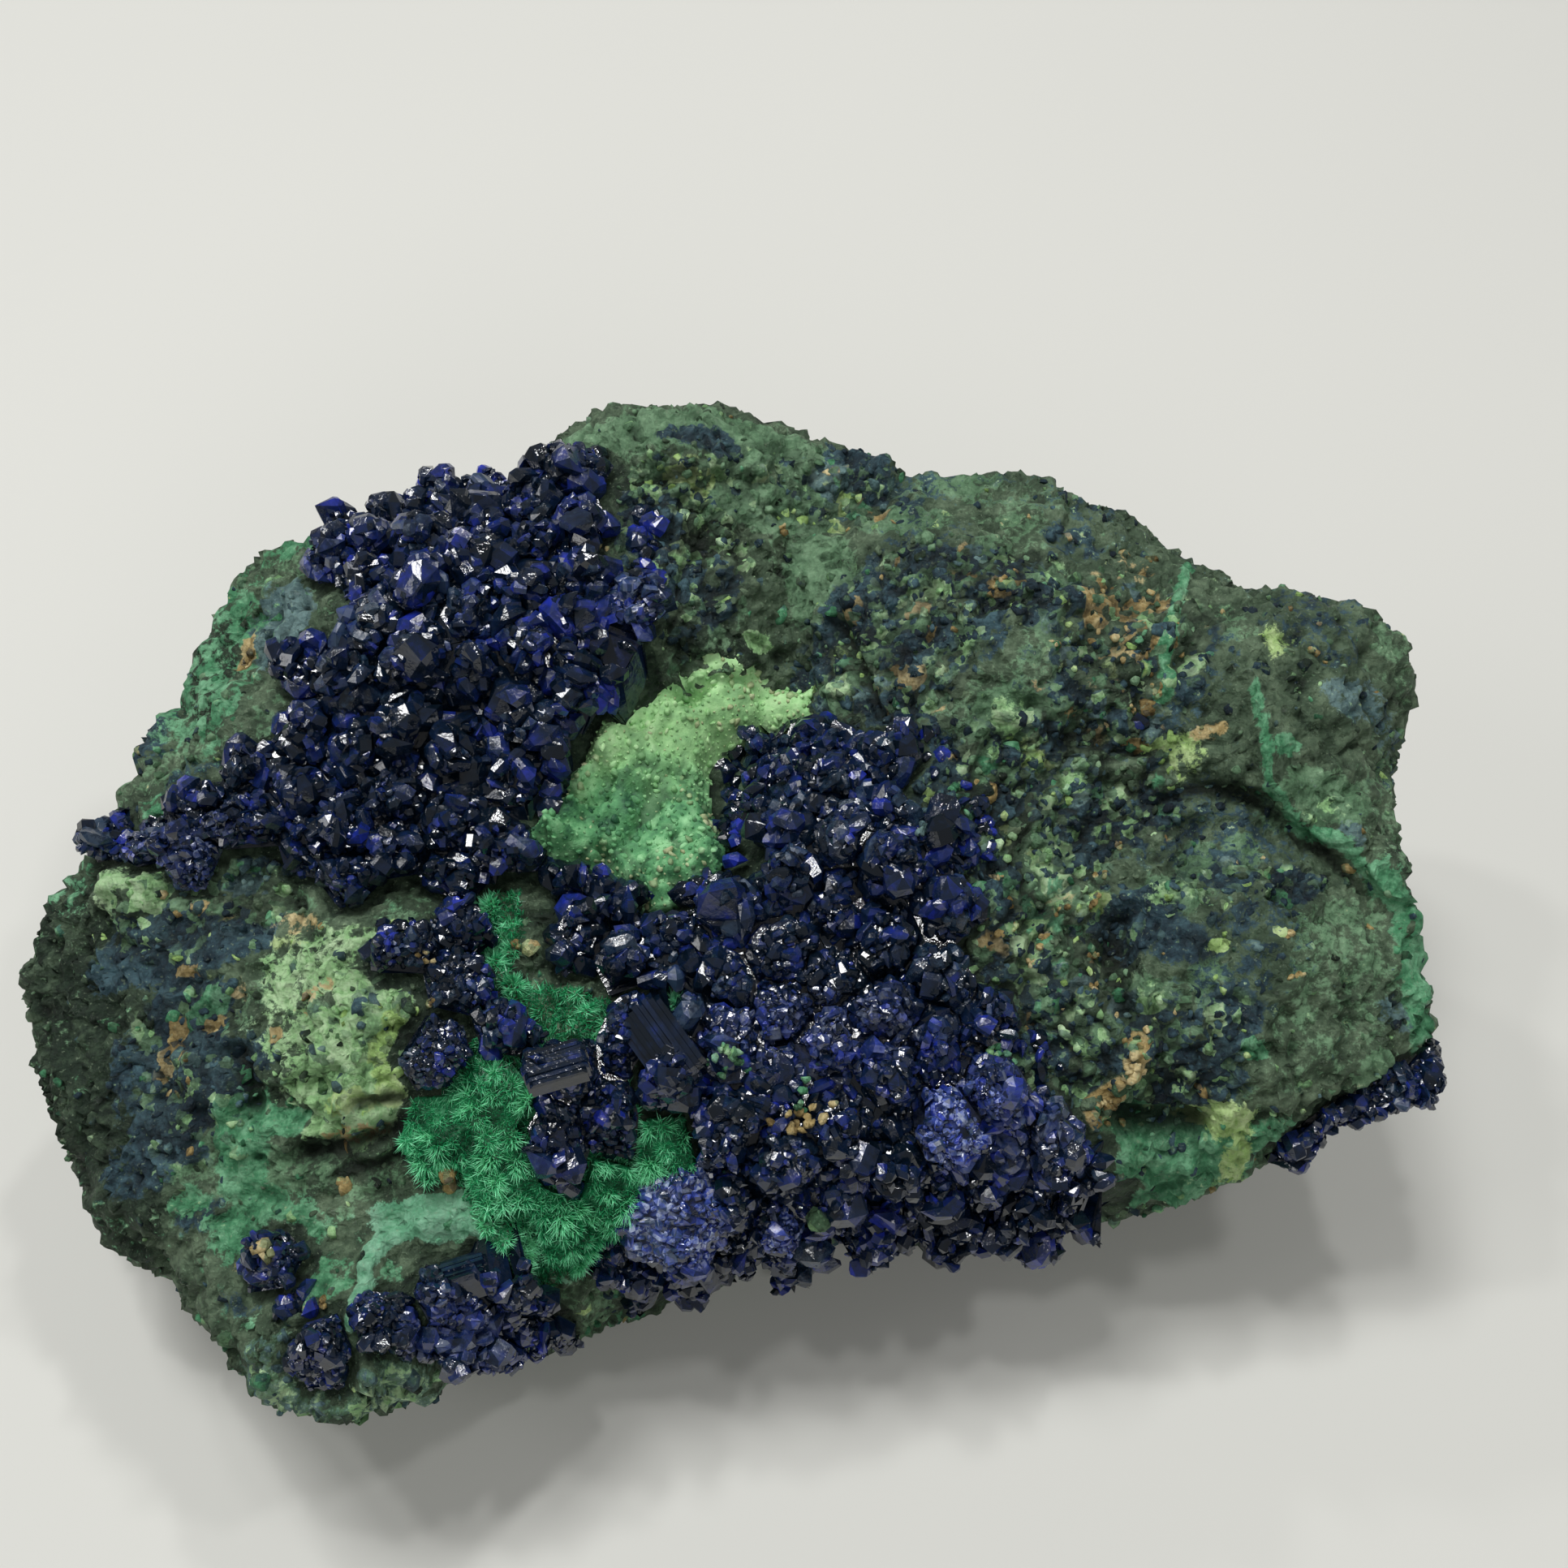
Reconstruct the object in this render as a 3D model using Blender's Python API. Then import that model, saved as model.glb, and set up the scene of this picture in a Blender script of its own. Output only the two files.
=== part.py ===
"""Azurite specimen: a hand-sized lump of copper-stained rock with crusts of azurite crystals and malachite.

Metres, +Z up. The specimen lies on its flat broken underside. The origin is on the resting plane,
under the middle of the whole specimen. +X runs along its length, and +Y to its thicker back edge.
Sizes in the tables below are in millimetres.
"""

import math
import random

import bpy
from mathutils import Matrix, Vector, geometry, noise

MM = 0.001
SEED = 7

# ---- the rock ----------------------------------------------------------------------------------------

# The rock, seen from above: its widest outline, anticlockwise, in mm.
OUTLINE = [
    (47.5, 1.0), (48.5, 4.5), (51.0, 9.5), (52.5, 12.5), (51.5, 16.5), (49.0, 17.5), (44.5, 18.0),
    (40.0, 19.0), (36.5, 21.5), (32.0, 25.0), (28.5, 27.0), (23.0, 28.5), (17.5, 28.5), (13.0, 29.0),
    (9.0, 31.0), (4.0, 33.0), (-4.5, 34.0), (-10.5, 33.5), (-13.5, 31.0), (-17.0, 27.5),
    (-22.0, 24.5), (-27.5, 24.5), (-35.0, 23.0), (-39.5, 19.5), (-42.0, 11.0), (-47.0, 9.5),
    (-48.0, 6.0), (-52.5, 1.0), (-57.5, -4.5), (-51.0, -12.0), (-46.0, -20.0), (-43.5, -24.0),
    (-38.5, -26.5), (-35.0, -30.0), (-32.5, -35.0), (-28.0, -38.0), (-24.0, -38.0), (-17.0, -33.5),
    (-12.5, -29.0), (-7.5, -25.5), (-3.5, -25.0), (4.0, -24.5), (12.0, -23.0), (20.0, -22.0),
    (26.0, -22.5), (30.5, -21.5), (36.5, -21.0), (42.5, -19.0), (46.0, -18.0), (48.0, -16.0),
    (51.0, -13.0), (49.5, -9.0), (47.5, -5.0),
]
CENTRE = (0.0, -2.0)

# The top rises from the front rim to the back, and swells towards the middle.
FRONT_HEIGHT = 15.5
FRONT_Y = -39.0
RISE_TO_BACK = 0.26
MIDDLE_SWELL = 5.5

# Main lumps and hollows of the top: x, y, height, half-lengths along and across, turn in degrees.
LUMPS = {
    "left_lobe": (-19.0, 12.0, 4.5, 14.0, 9.0, 20.0),
    "centre_lobe": (9.0, -4.0, 3.0, 9.0, 6.0, 0.0),
    "centre_hollow": (8.5, -9.0, -1.5, 3.5, 2.5, 0.0),
    "front_belly": (6.0, -22.0, 2.0, 16.0, 6.0, 0.0),
    "knob": (-23.0, -16.5, 4.0, 8.0, 6.0, 0.0),
    "plate": (-24.0, -25.5, -1.5, 9.0, 3.5, 0.0),
    "corner_lump": (-24.0, -35.0, 2.5, 7.0, 4.5, 0.0),
    "right_hump": (37.0, -12.0, 2.5, 11.0, 9.0, 0.0),
    "trough": (25.0, -5.0, -2.0, 5.0, 10.0, -20.0),
    "hill": (21.0, 12.0, 3.5, 15.0, 8.0, -15.0),
    "valley": (5.5, 15.0, -3.5, 4.5, 11.0, 0.0),
    "right_corner_lump": (43.0, 8.0, 2.5, 7.0, 7.0, 0.0),
    "back_hump": (-2.0, 27.0, 3.5, 13.0, 6.0, 0.0),
    "right_shelf": (30.0, -23.0, -2.5, 8.0, 3.0, 0.0),
}
# The pocket is steep-walled with a flat floor.
POCKET = (-3.0, 2.0, -5.0, 11.0, 6.5, 50.0)
# The left flank falls away outside this x.
FLANK_X = -35.0
FLANK_FALL = 0.30
# A broken plate ends in a ledge along this line, and stands this much above the rock in front of it.
LEDGE_START = (35.5, 1.5)
LEDGE_END = (45.5, -5.5)
LEDGE_HEIGHT = 3.2
LEDGE_WIDTH = 0.5
# It fades out over these distances: before the ledge line's start, and behind the line.
LEDGE_FADES = (3.0, 9.0)

# The side of the rock, from the top's edge to the base: share of the outline, and share of the height.
SIDE_PROFILE = [(0.0, 0.950, 1.00), (0.2, 0.985, 0.88), (0.4, 1.000, 0.72), (0.6, 0.965, 0.48),
                (0.8, 0.880, 0.22), (1.0, 0.760, 0.00)]
# Flat breaks across the sides: the way each faces in degrees (round, up), and how far out it lies.
BREAKS = [(95.0, -12.0, 32.0), (55.0, -30.0, 34.0), (150.0, -12.0, 39.0), (185.0, -14.0, 55.0),
          (0.0, -25.0, 44.5), (235.0, -30.0, 42.0)]
BREAK_CENTRE = Vector((0.0, -2.0, 20.0))
BREAK_CUT = 0.85
# Roughness of the skin: length of its lumps and how far they move it.
ROUGHNESS = [(10.0, 1.2), (4.5, 0.7)]
SIDE_ROUGHNESS = 1.9
# The outline's notches fade out down the sides, towards its average over this many degrees each way.
SMOOTHED_OVER = 24.0
# Only the base touches the surface: the rest of the skin is at least this high.
LOWEST_ABOVE_BASE = 0.4

# Triangles are about this long, and their corners stray this share of it from an even grid.
FACET = 2.4
STRAY = 0.16
RING_STEP = 1.2
# The rock's skin is laid out flat: the top as seen from above, and the sides folded out around it,
# up to this share of the outline.
TOP_SHARE = SIDE_PROFILE[0][1]
FOLDED_SHARE = 1.50
# The outer edge of that map is walked in this many short steps to space the base's corners.
EDGE_STEPS = 2000

# ---- the crusts --------------------------------------------------------------------------------------

# Every crust stands clear of the rock, and of its neighbours, by about this much.
GAP = 0.35
EDGE_THICKNESS = 0.6
# Outlines of the crusts in mm, seen from above, with the sides of the rock folded out flat around the top.
AZURITE = {
    "azurite_strip": [(-22.0, -9.5), (-15.5, -9.5), (-14.0, -14.0), (-14.0, -17.0), (-17.5, -17.0),
                      (-18.5, -14.5), (-22.0, -14.5)],
    "azurite_group": [(-13.8, -16.3), (-7.0, -16.3), (-6.5, -21.0), (-8.5, -24.0), (-13.5, -23.0)],
    "azurite_corner": [(-20.5, -30.5), (-14.5, -28.5), (-13.5, -31.5), (-12.5, -36.0), (-17.0, -41.0),
                       (-22.5, -45.0), (-24.5, -42.5), (-19.0, -38.0), (-18.0, -34.5)],
    "azurite_edge": [(40.0, -20.0), (44.0, -18.0), (47.5, -16.0), (52.0, -16.5), (50.0, -21.0),
                     (44.5, -23.5), (40.0, -24.5)],
    "azurite_crust": [
        (-27.0, 24.0), (-22.0, 27.0), (-14.0, 28.5), (-9.5, 24.0), (-8.0, 19.0), (-6.5, 13.0), (-7.0, 7.5),
        (-9.5, 4.0), (-10.5, 0.0), (-13.0, -2.0), (-10.0, -5.0), (-5.5, -8.0), (-1.0, -8.0), (1.5, -5.0),
        (0.5, 1.0), (1.0, 5.0), (4.5, 7.0), (12.0, 2.5), (14.5, -1.0), (16.0, -7.0), (19.0, -14.5),
        (24.0, -18.0), (25.5, -22.0), (29.0, -25.0), (27.5, -28.5), (18.0, -29.5), (8.0, -31.5),
        (-4.0, -33.0), (-12.0, -36.0), (-12.5, -33.0), (-8.5, -30.0), (-4.5, -27.0), (-4.0, -24.0),
        (-2.5, -22.5), (-5.5, -20.0), (-6.0, -16.0), (-5.0, -14.0), (-11.0, -12.5), (-12.5, -8.0),
        (-18.0, -7.5),
        (-24.0, -8.5), (-29.0, -7.5), (-31.5, -5.0), (-38.0, -3.8), (-45.5, -2.0), (-44.5, 0.8),
        (-39.0, 0.2), (-34.5, 2.6), (-32.0, 6.0), (-30.0, 10.0), (-26.0, 11.0), (-30.0, 16.0), (-31.0, 21.0),
    ],
}
MALACHITE = {
    "malachite_velvet": [(-16.0, -13.0), (-9.0, -13.0), (-2.5, -14.5), (-4.0, -18.5), (-2.0, -22.5),
                         (-4.5, -26.5), (-9.0, -30.0), (-13.5, -31.0), (-17.0, -25.0), (-20.0, -20.0)],
    "malachite_pocket": [(-6.0, 8.5), (2.5, 9.5), (5.0, 7.5), (2.5, 6.5), (0.0, 4.5), (-1.5, 2.5),
                         (0.0, -2.5), (0.0, -6.5), (-6.0, -7.5), (-10.0, -4.0), (-12.5, -1.5), (-9.5, 2.0),
                         (-8.5, 5.0)],
}
# Clumps of azurite that sit alone: where each one is.
CLUMPS = {"azurite_rosette": (-17.0, -19.0), "azurite_bead_1": (-28.0, -31.0),
          "azurite_bead_2": (-26.0, -35.5), "azurite_bead_3": (-21.5, -32.5)}
# Crystals that stand out: where each one is, its height, and the direction of its ridge in degrees.
TALL_CRYSTALS = {"striated": (-3.5, -17.5, 3.4, 130.0), "chisel": (-10.0, -19.5, 3.2, 10.0),
                 "front_face": (12.5, -28.0, 3.0, 60.0)}
# Crystals grown into round rosettes: where each one is, and its height.
ROSETTES = {"front": (-2.0, -27.5, 3.2), "belly": (15.5, -21.0, 3.0), "velvet": (-17.0, -19.0, 2.6)}
CRYSTAL_HEIGHTS = (0.8, 2.0)
CRYSTAL_TAPERS = (0.58, 0.80)
CRYSTAL_LEAN = 0.16
SLANTS = (0.2, 0.5)
RIDGE_SHARE = 0.45
FLAT_TOP_SHARE = 0.4
BED_THICKNESS = (0.6, 1.1)
# A rosette's rings: each one's share of the width, and of the height.
ROSETTE_RINGS = ((1.02, 0.45), (0.68, 0.85))
# A tall crystal or a rosette is the one that grows this close to its listed place.
NEAR = 1.3 * FACET
MALACHITE_THICKNESS = {"malachite_velvet": (0.9, 1.5), "malachite_pocket": (0.5, 1.0)}

# ---- colours -----------------------------------------------------------------------------------------

# Each material's colour and roughness.
COLOURS = {
    "rock": ((0.075, 0.110, 0.085), 0.85),
    "azurite": ((0.010, 0.014, 0.110), 0.25),
    "malachite_velvet": ((0.020, 0.230, 0.120), 0.80),
    "malachite_pocket": ((0.180, 0.400, 0.210), 0.85),
}


def polar_outline():
    """The outline as (angle, distance) about CENTRE, sorted by angle."""
    found = []
    for x, y in OUTLINE:
        dx, dy = x - CENTRE[0], y - CENTRE[1]
        found.append((math.atan2(dy, dx), math.hypot(dx, dy)))
    return sorted(found)


POLAR = polar_outline()


def outline_distance(angle):
    """How far the outline is from CENTRE in this direction."""
    turn = 2 * math.pi
    around = [(POLAR[-1][0] - turn, POLAR[-1][1])] + POLAR + [(POLAR[0][0] + turn, POLAR[0][1])]
    for (a, r), (b, s) in zip(around, around[1:]):
        if a <= angle <= b:
            return r + (s - r) * (angle - a) / max(b - a, 1e-9)
    return POLAR[0][1]


def smooth_distance(angle):
    """The outline's average distance around this direction."""
    steps = (-1.0, -0.67, -0.33, 0.0, 0.33, 0.67, 1.0)
    around = [angle + math.radians(SMOOTHED_OVER * k) for k in steps]
    wrapped = [math.atan2(math.sin(a), math.cos(a)) for a in around]
    return sum(outline_distance(a) for a in wrapped) / len(steps)


def bump(x, y, lump, power):
    """A lump's height at this place: it fades smoothly outside its half-lengths."""
    cx, cy, height, along, across, turn = lump
    turn = math.radians(turn)
    dx, dy = x - cx, y - cy
    u = (dx * math.cos(turn) + dy * math.sin(turn)) / along
    v = (dy * math.cos(turn) - dx * math.sin(turn)) / across
    return height * math.exp(-((u * u + v * v) ** power))


def ledge(x, y):
    """The broken plate's extra height: full behind the ledge line and none in front of it."""
    (ax, ay), (bx, by) = LEDGE_START, LEDGE_END
    length = math.hypot(bx - ax, by - ay)
    along = ((x - ax) * (bx - ax) + (y - ay) * (by - ay)) / length
    behind = ((bx - ax) * (y - ay) - (by - ay) * (x - ax)) / length
    step = 0.5 + 0.5 * math.tanh(behind / LEDGE_WIDTH)
    fade = max(0.0, -along) / LEDGE_FADES[0] + max(0.0, behind) / LEDGE_FADES[1]
    return LEDGE_HEIGHT * step * math.exp(-fade)


def top_height(x, y, share):
    """The rock's height in mm, at this place and this share of the way out to the outline."""
    height = FRONT_HEIGHT + RISE_TO_BACK * (y - FRONT_Y) + MIDDLE_SWELL * (1 - share ** 4)
    height += sum(bump(x, y, lump, 1.0) for lump in LUMPS.values())
    height += bump(x, y, POCKET, 2.0) + ledge(x, y)
    return height - FLANK_FALL * max(0.0, FLANK_X - x)


def side_profile(s):
    """The share of the outline and of the height, this far down the side (0 to 1)."""
    for (a, ra, za), (b, rb, zb) in zip(SIDE_PROFILE, SIDE_PROFILE[1:]):
        if s <= b:
            t = (s - a) / (b - a)
            return ra + (rb - ra) * t, za + (zb - za) * t
    return SIDE_PROFILE[-1][1:]


def broken_flat(point):
    """The point moved in to the flat breaks that it would stand out of."""
    for around, up, distance in BREAKS:
        around, up = math.radians(around), math.radians(up)
        facing = Vector((math.cos(around) * math.cos(up), math.sin(around) * math.cos(up), math.sin(up)))
        outside = (point - BREAK_CENTRE).dot(facing) - distance
        if outside > 0:
            point = point - facing * outside * BREAK_CUT
    return point


def rock_point(flat):
    """A point of the rock's skin in mm, from its place on the skin laid out flat."""
    dx, dy = flat[0] - CENTRE[0], flat[1] - CENTRE[1]
    angle = math.atan2(dy, dx)
    outline = outline_distance(angle)
    folded = math.hypot(dx, dy) / outline
    share, rise, down = folded, 1.0, 0.0
    if folded > TOP_SHARE:
        down = min(1.0, (folded - TOP_SHARE) / (FOLDED_SHARE - TOP_SHARE))
        share, rise = side_profile(down)
        outline += (smooth_distance(angle) - outline) * down
    x, y = CENTRE[0] + outline * share * math.cos(angle), CENTRE[1] + outline * share * math.sin(angle)
    point = broken_flat(Vector((x, y, rise * top_height(x, y, share))))
    rougher = 1 + (SIDE_ROUGHNESS - 1) * down
    for length, amount in ROUGHNESS:
        point = point + noise.noise_vector(point / length) * amount * rougher
    point.z = max(point.z, LOWEST_ABOVE_BASE) if folded < FOLDED_SHARE - 0.001 else 0.0
    return point


def base_ring():
    """Evenly spaced places along the outer edge of the skin laid out flat."""
    edge = []
    for k in range(EDGE_STEPS):
        angle = 2 * math.pi * k / EDGE_STEPS - math.pi
        reach = outline_distance(angle) * FOLDED_SHARE
        edge.append(Vector((CENTRE[0] + reach * math.cos(angle), CENTRE[1] + reach * math.sin(angle))))
    ring, walked = [edge[0]], 0.0
    for a, b in zip(edge, edge[1:]):
        walked += (b - a).length
        if walked > FACET * RING_STEP:
            ring.append(b)
            walked = 0.0
    return ring


def skin_points():
    """A slightly disordered triangular grid over the skin laid out flat, after the ring at its edge.

    Each grid point has a colour from 0 to 2, and its six neighbours have the other two in turn."""
    rng = random.Random(SEED)
    points = base_ring()
    colours = [None] * len(points)
    edge = [Vector(CENTRE) + (p - Vector(CENTRE)) * (1 - 0.5 * FACET / (p - Vector(CENTRE)).length)
            for p in points]
    ring = len(points)
    row = FACET * math.sqrt(0.75)
    reach = math.ceil(2 * max(p.length for p in points) / FACET)
    for j in range(-reach, reach + 1):
        for i in range(-reach, reach + 1):
            place = Vector((FACET * (i + 0.5 * j), row * j))
            if inside(place, edge):
                stray = Vector((rng.uniform(-STRAY, STRAY), rng.uniform(-STRAY, STRAY))) * FACET
                points.append(place + stray)
                colours.append((i - j) % 3)
    return points, colours, ring


class Rock:
    """The rock's corners, triangles, colours and flat map, and which crust has taken each triangle."""

    def __init__(self):
        points, colours, ring = skin_points()
        rim = [(k, (k + 1) % ring) for k in range(ring)]
        found = geometry.delaunay_2d_cdt(points, rim, [], 1, 1e-6)
        self.map, triangles, sources = found[0], found[2], found[3]
        self.corners = [rock_point(place) for place in self.map]
        self.triangles = [tuple(t) for t in triangles]
        self.colours = [colours[source[0]] for source in sources]
        where = {source[0]: k for k, source in enumerate(sources)}
        self.base = [where[k] for k in range(ring)]
        self.taken = [None] * len(self.triangles)
        self.normals = self.corner_normals()
        self.fans = self.triangle_fans()

    def corner_normals(self):
        normals = [Vector() for _ in self.corners]
        for a, b, c in self.triangles:
            facing = (self.corners[b] - self.corners[a]).cross(self.corners[c] - self.corners[a])
            for corner in (a, b, c):
                normals[corner] += facing
        return [n.normalized() for n in normals]

    def triangle_fans(self):
        """The triangles around each corner."""
        fans = [[] for _ in self.corners]
        for k, triangle in enumerate(self.triangles):
            for corner in triangle:
                fans[corner].append(k)
        return fans

    def star(self, centre):
        """The corners around this one in anticlockwise order, if its triangles are whole and free."""
        fan = self.fans[centre]
        if len(fan) != 6 or self.colours[centre] != 0 or any(self.taken[k] for k in fan):
            return None
        following = {}
        for k in fan:
            a, b, c = self.triangles[k]
            while a != centre:
                a, b, c = b, c, a
            following[b] = c
        ring = [min(following)]
        while len(ring) < 6:
            ring.append(following[ring[-1]])
        return ring

    def stars_inside(self, outline):
        return [k for k, place in enumerate(self.map) if inside(place, outline) and self.star(k)]

    def largest_group(self, centres):
        """The most of these stars that join edge to edge."""
        left, best = set(centres), []
        while left:
            group, edge = [], [min(left)]
            while edge:
                centre = edge.pop()
                if centre in left:
                    left.discard(centre)
                    group.append(centre)
                    ring = set(self.star(centre))
                    edge += [k for k in sorted(left) if len(ring & set(self.star(k))) == 2]
            best = max(best, group, key=len)
        return sorted(best)

    def nearest_star(self, place):
        free = [k for k in range(len(self.map)) if self.colours[k] == 0 and self.star(k)]
        return min(free, key=lambda k: (self.map[k] - Vector(place)).length)

    def rim(self, patch):
        """The patch's outer edges, each in the direction that its triangle runs."""
        edges = set()
        for k in patch:
            a, b, c = self.triangles[k]
            edges |= {(a, b), (b, c), (c, a)}
        return sorted((a, b) for a, b in edges if (b, a) not in edges)

    def edge_corners(self, patch):
        """How many of the patch's outer edges meet at each corner."""
        count = {}
        for edge in self.rim(patch):
            for corner in edge:
                count[corner] = count.get(corner, 0) + 1
        return count


def inside(place, outline):
    """Whether a place lies inside an outline of points."""
    x, y = place
    crossings = 0
    for (ax, ay), (bx, by) in zip(outline, outline[1:] + outline[:1]):
        if (ay > y) != (by > y) and x < ax + (bx - ax) * (y - ay) / (by - ay):
            crossings += 1
    return crossings % 2 == 1


class Crust:
    """A closed crust over some of the rock's triangles: an underside, a rim and an upper side."""

    def __init__(self, rock, name, patch, thickness, rng):
        self.rock, self.name, self.patch = rock, name, patch
        self.points, self.faces = [], []
        self.lower, self.upper = {}, {}
        for k in patch:
            rock.taken[k] = name
        inward = self.inward_steps()
        for corner in sorted({c for k in patch for c in rock.triangles[k]}):
            normal = rock.normals[corner]
            place = rock.corners[corner] + normal * GAP + inward.get(corner, Vector())
            height = EDGE_THICKNESS if corner in inward else rng.uniform(*thickness)
            self.lower[corner] = self.add(place)
            self.upper[corner] = self.add(place + normal * height)
        for k in patch:
            self.faces.append([self.lower[c] for c in reversed(rock.triangles[k])])
        for a, b in rock.rim(patch):
            self.faces.append([self.upper[b], self.upper[a], self.lower[a], self.lower[b]])

    def add(self, point):
        self.points.append(point)
        return len(self.points) - 1

    def inward_steps(self):
        """For each corner at the patch's edge, a step into the patch that keeps neighbours apart."""
        rock, steps = self.rock, {}
        for corner in rock.edge_corners(self.patch):
            step = Vector()
            for k in set(rock.fans[corner]) & self.patch:
                a, b, c = (rock.corners[i] for i in rock.triangles[k])
                step += ((a + b + c) / 3 - rock.corners[corner]).normalized()
            steps[corner] = step.normalized() * GAP
        return steps

    def cover(self, triangles):
        """Closes the upper side over these triangles."""
        for k in triangles:
            self.faces.append([self.upper[c] for c in self.rock.triangles[k]])

    def ring_points(self, ring):
        return [self.points[self.upper[c]] for c in ring]

    def band(self, below, above):
        """A band of faces between two rings of points."""
        for i in range(len(below)):
            j = (i + 1) % len(below)
            self.faces.append([below[i], below[j], above[j], above[i]])

    def crystal(self, centre, ring, rng, height, ridge=None):
        """A flat-faced crystal that fills a ring: it narrows upwards to a slanting face or to a ridge."""
        base = [self.upper[c] for c in ring]
        points = self.ring_points(ring)
        middle = sum(points, Vector()) / 6
        axis = (self.rock.normals[centre] + random_direction(rng) * CRYSTAL_LEAN).normalized()
        taper, slant = rng.uniform(*CRYSTAL_TAPERS), random_direction(rng) * rng.uniform(*SLANTS)
        top = []
        for p in points:
            out = (p - middle) - axis * (p - middle).dot(axis)
            top.append(self.add(middle + out * taper + axis * (height + out.dot(slant))))
        self.band(base, top)
        if ridge is None:
            self.faces.append(top)
        else:
            self.ridge(middle, axis, top, height, ridge)

    def ridge(self, middle, axis, top, height, direction):
        """Closes a crystal with a chisel edge over its top ring."""
        along = Vector((math.cos(direction), math.sin(direction), 0.0))
        along = (along - axis * along.dot(axis)).normalized()
        reach = sum((self.points[t] - middle).cross(axis).length for t in top) / 6
        peak = middle + axis * (height + RIDGE_SHARE * reach)
        ends = [self.add(peak + along * reach * RIDGE_SHARE), self.add(peak - along * reach * RIDGE_SHARE)]
        side = [0 if (self.points[t] - middle).dot(along) > 0 else 1 for t in top]
        for i in range(6):
            j = (i + 1) % 6
            face = [top[i], top[j], ends[side[j]]]
            if side[i] != side[j]:
                face.append(ends[side[i]])
            self.faces.append(face)

    def rosette(self, centre, ring, height):
        """A round ball of crystals that fills a ring."""
        points, axis = self.ring_points(ring), self.rock.normals[centre]
        middle = sum(points, Vector()) / 6
        rings = [[self.upper[c] for c in ring]]
        for scale, rise in ROSETTE_RINGS:
            rings.append([self.add(middle + (p - middle) * scale + axis * height * rise) for p in points])
        self.band(rings[0], rings[1])
        self.band(rings[1], rings[2])
        peak = self.add(middle + axis * height)
        for i in range(6):
            self.faces.append([rings[2][i], rings[2][(i + 1) % 6], peak])

    def make(self, colour):
        add_object(self.name, self.points, self.faces, colour)


def random_direction(rng):
    return Vector((rng.gauss(0, 1), rng.gauss(0, 1), rng.gauss(0, 1))).normalized()


def material(name):
    """A Principled material of one of the specimen's colours, made once."""
    if name in bpy.data.materials:
        return bpy.data.materials[name]
    colour, roughness = COLOURS[name]
    made = bpy.data.materials.new(name)
    made.use_nodes = True
    shader = made.node_tree.nodes["Principled BSDF"]
    shader.inputs["Base Color"].default_value = (*colour, 1.0)
    shader.inputs["Roughness"].default_value = roughness
    shader.inputs["Metallic"].default_value = 0.0
    return made


def add_object(name, points, faces, colour):
    mesh = bpy.data.meshes.new(name)
    mesh.from_pydata([p * MM for p in points], [], faces)
    mesh.materials.append(material(colour))
    obj = bpy.data.objects.new(name, mesh)
    bpy.context.scene.collection.objects.link(obj)


def add_azurite(rock, name, centres, rng):
    """One crust of crystals, each filling the six triangles around one of these corners."""
    rings = {centre: rock.star(centre) for centre in centres}
    patch = {k for centre in centres for k in rock.fans[centre]}
    special = standing_out(rock, centres)
    crust = Crust(rock, name, patch, BED_THICKNESS, rng)
    for centre in centres:
        kind, values = special.get(centre, (None, None))
        if kind == "rosette":
            crust.rosette(centre, rings[centre], values[2])
        elif kind == "tall":
            crust.crystal(centre, rings[centre], rng, values[2], math.radians(values[3]))
        else:
            ridge = None if rng.random() < FLAT_TOP_SHARE else rng.uniform(0, math.pi)
            crust.crystal(centre, rings[centre], rng, rng.uniform(*CRYSTAL_HEIGHTS), ridge)
    crust.make("azurite")


def standing_out(rock, centres):
    """The tall crystals and rosettes that belong to these corners."""
    found = {}
    listed = [("tall", v) for v in TALL_CRYSTALS.values()] + [("rosette", v) for v in ROSETTES.values()]
    for kind, values in listed:
        place = Vector(values[:2])
        nearest = min(centres, key=lambda k: (rock.map[k] - place).length)
        if (rock.map[nearest] - place).length < NEAR:
            found[nearest] = (kind, values)
    return found


def add_malachite(rock, name, rng):
    """A thin crust with a lumpy upper side."""
    centres = rock.largest_group(rock.stars_inside(MALACHITE[name]))
    patch = {k for centre in centres for k in rock.fans[centre]}
    crust = Crust(rock, name, patch, MALACHITE_THICKNESS[name], rng)
    crust.cover(patch)
    crust.make(name)


def centre_specimen():
    """Moves every piece so that the middle of the whole specimen stands over the origin."""
    spots = [v.co for obj in bpy.data.objects for v in obj.data.vertices]
    middle_x = (min(p.x for p in spots) + max(p.x for p in spots)) / 2
    middle_y = (min(p.y for p in spots) + max(p.y for p in spots)) / 2
    for obj in bpy.data.objects:
        obj.data.transform(Matrix.Translation((-middle_x, -middle_y, 0.0)))


def main():
    for obj in list(bpy.data.objects):
        bpy.data.objects.remove(obj)
    noise.seed_set(SEED)
    rng = random.Random(SEED)
    rock = Rock()
    add_object("rock_matrix", rock.corners, rock.triangles + [rock.base[::-1]], "rock")
    for name, place in CLUMPS.items():
        add_azurite(rock, name, [rock.nearest_star(place)], rng)
    for name, outline in AZURITE.items():
        add_azurite(rock, name, rock.largest_group(rock.stars_inside(outline)), rng)
    for name in MALACHITE:
        add_malachite(rock, name, rng)
    centre_specimen()


main()
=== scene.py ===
"""The looks of the azurite specimen: rock, crystals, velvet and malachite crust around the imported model."""
import math

import bmesh
import bpy
import numpy as np
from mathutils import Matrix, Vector
from mathutils.bvhtree import BVHTree


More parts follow.
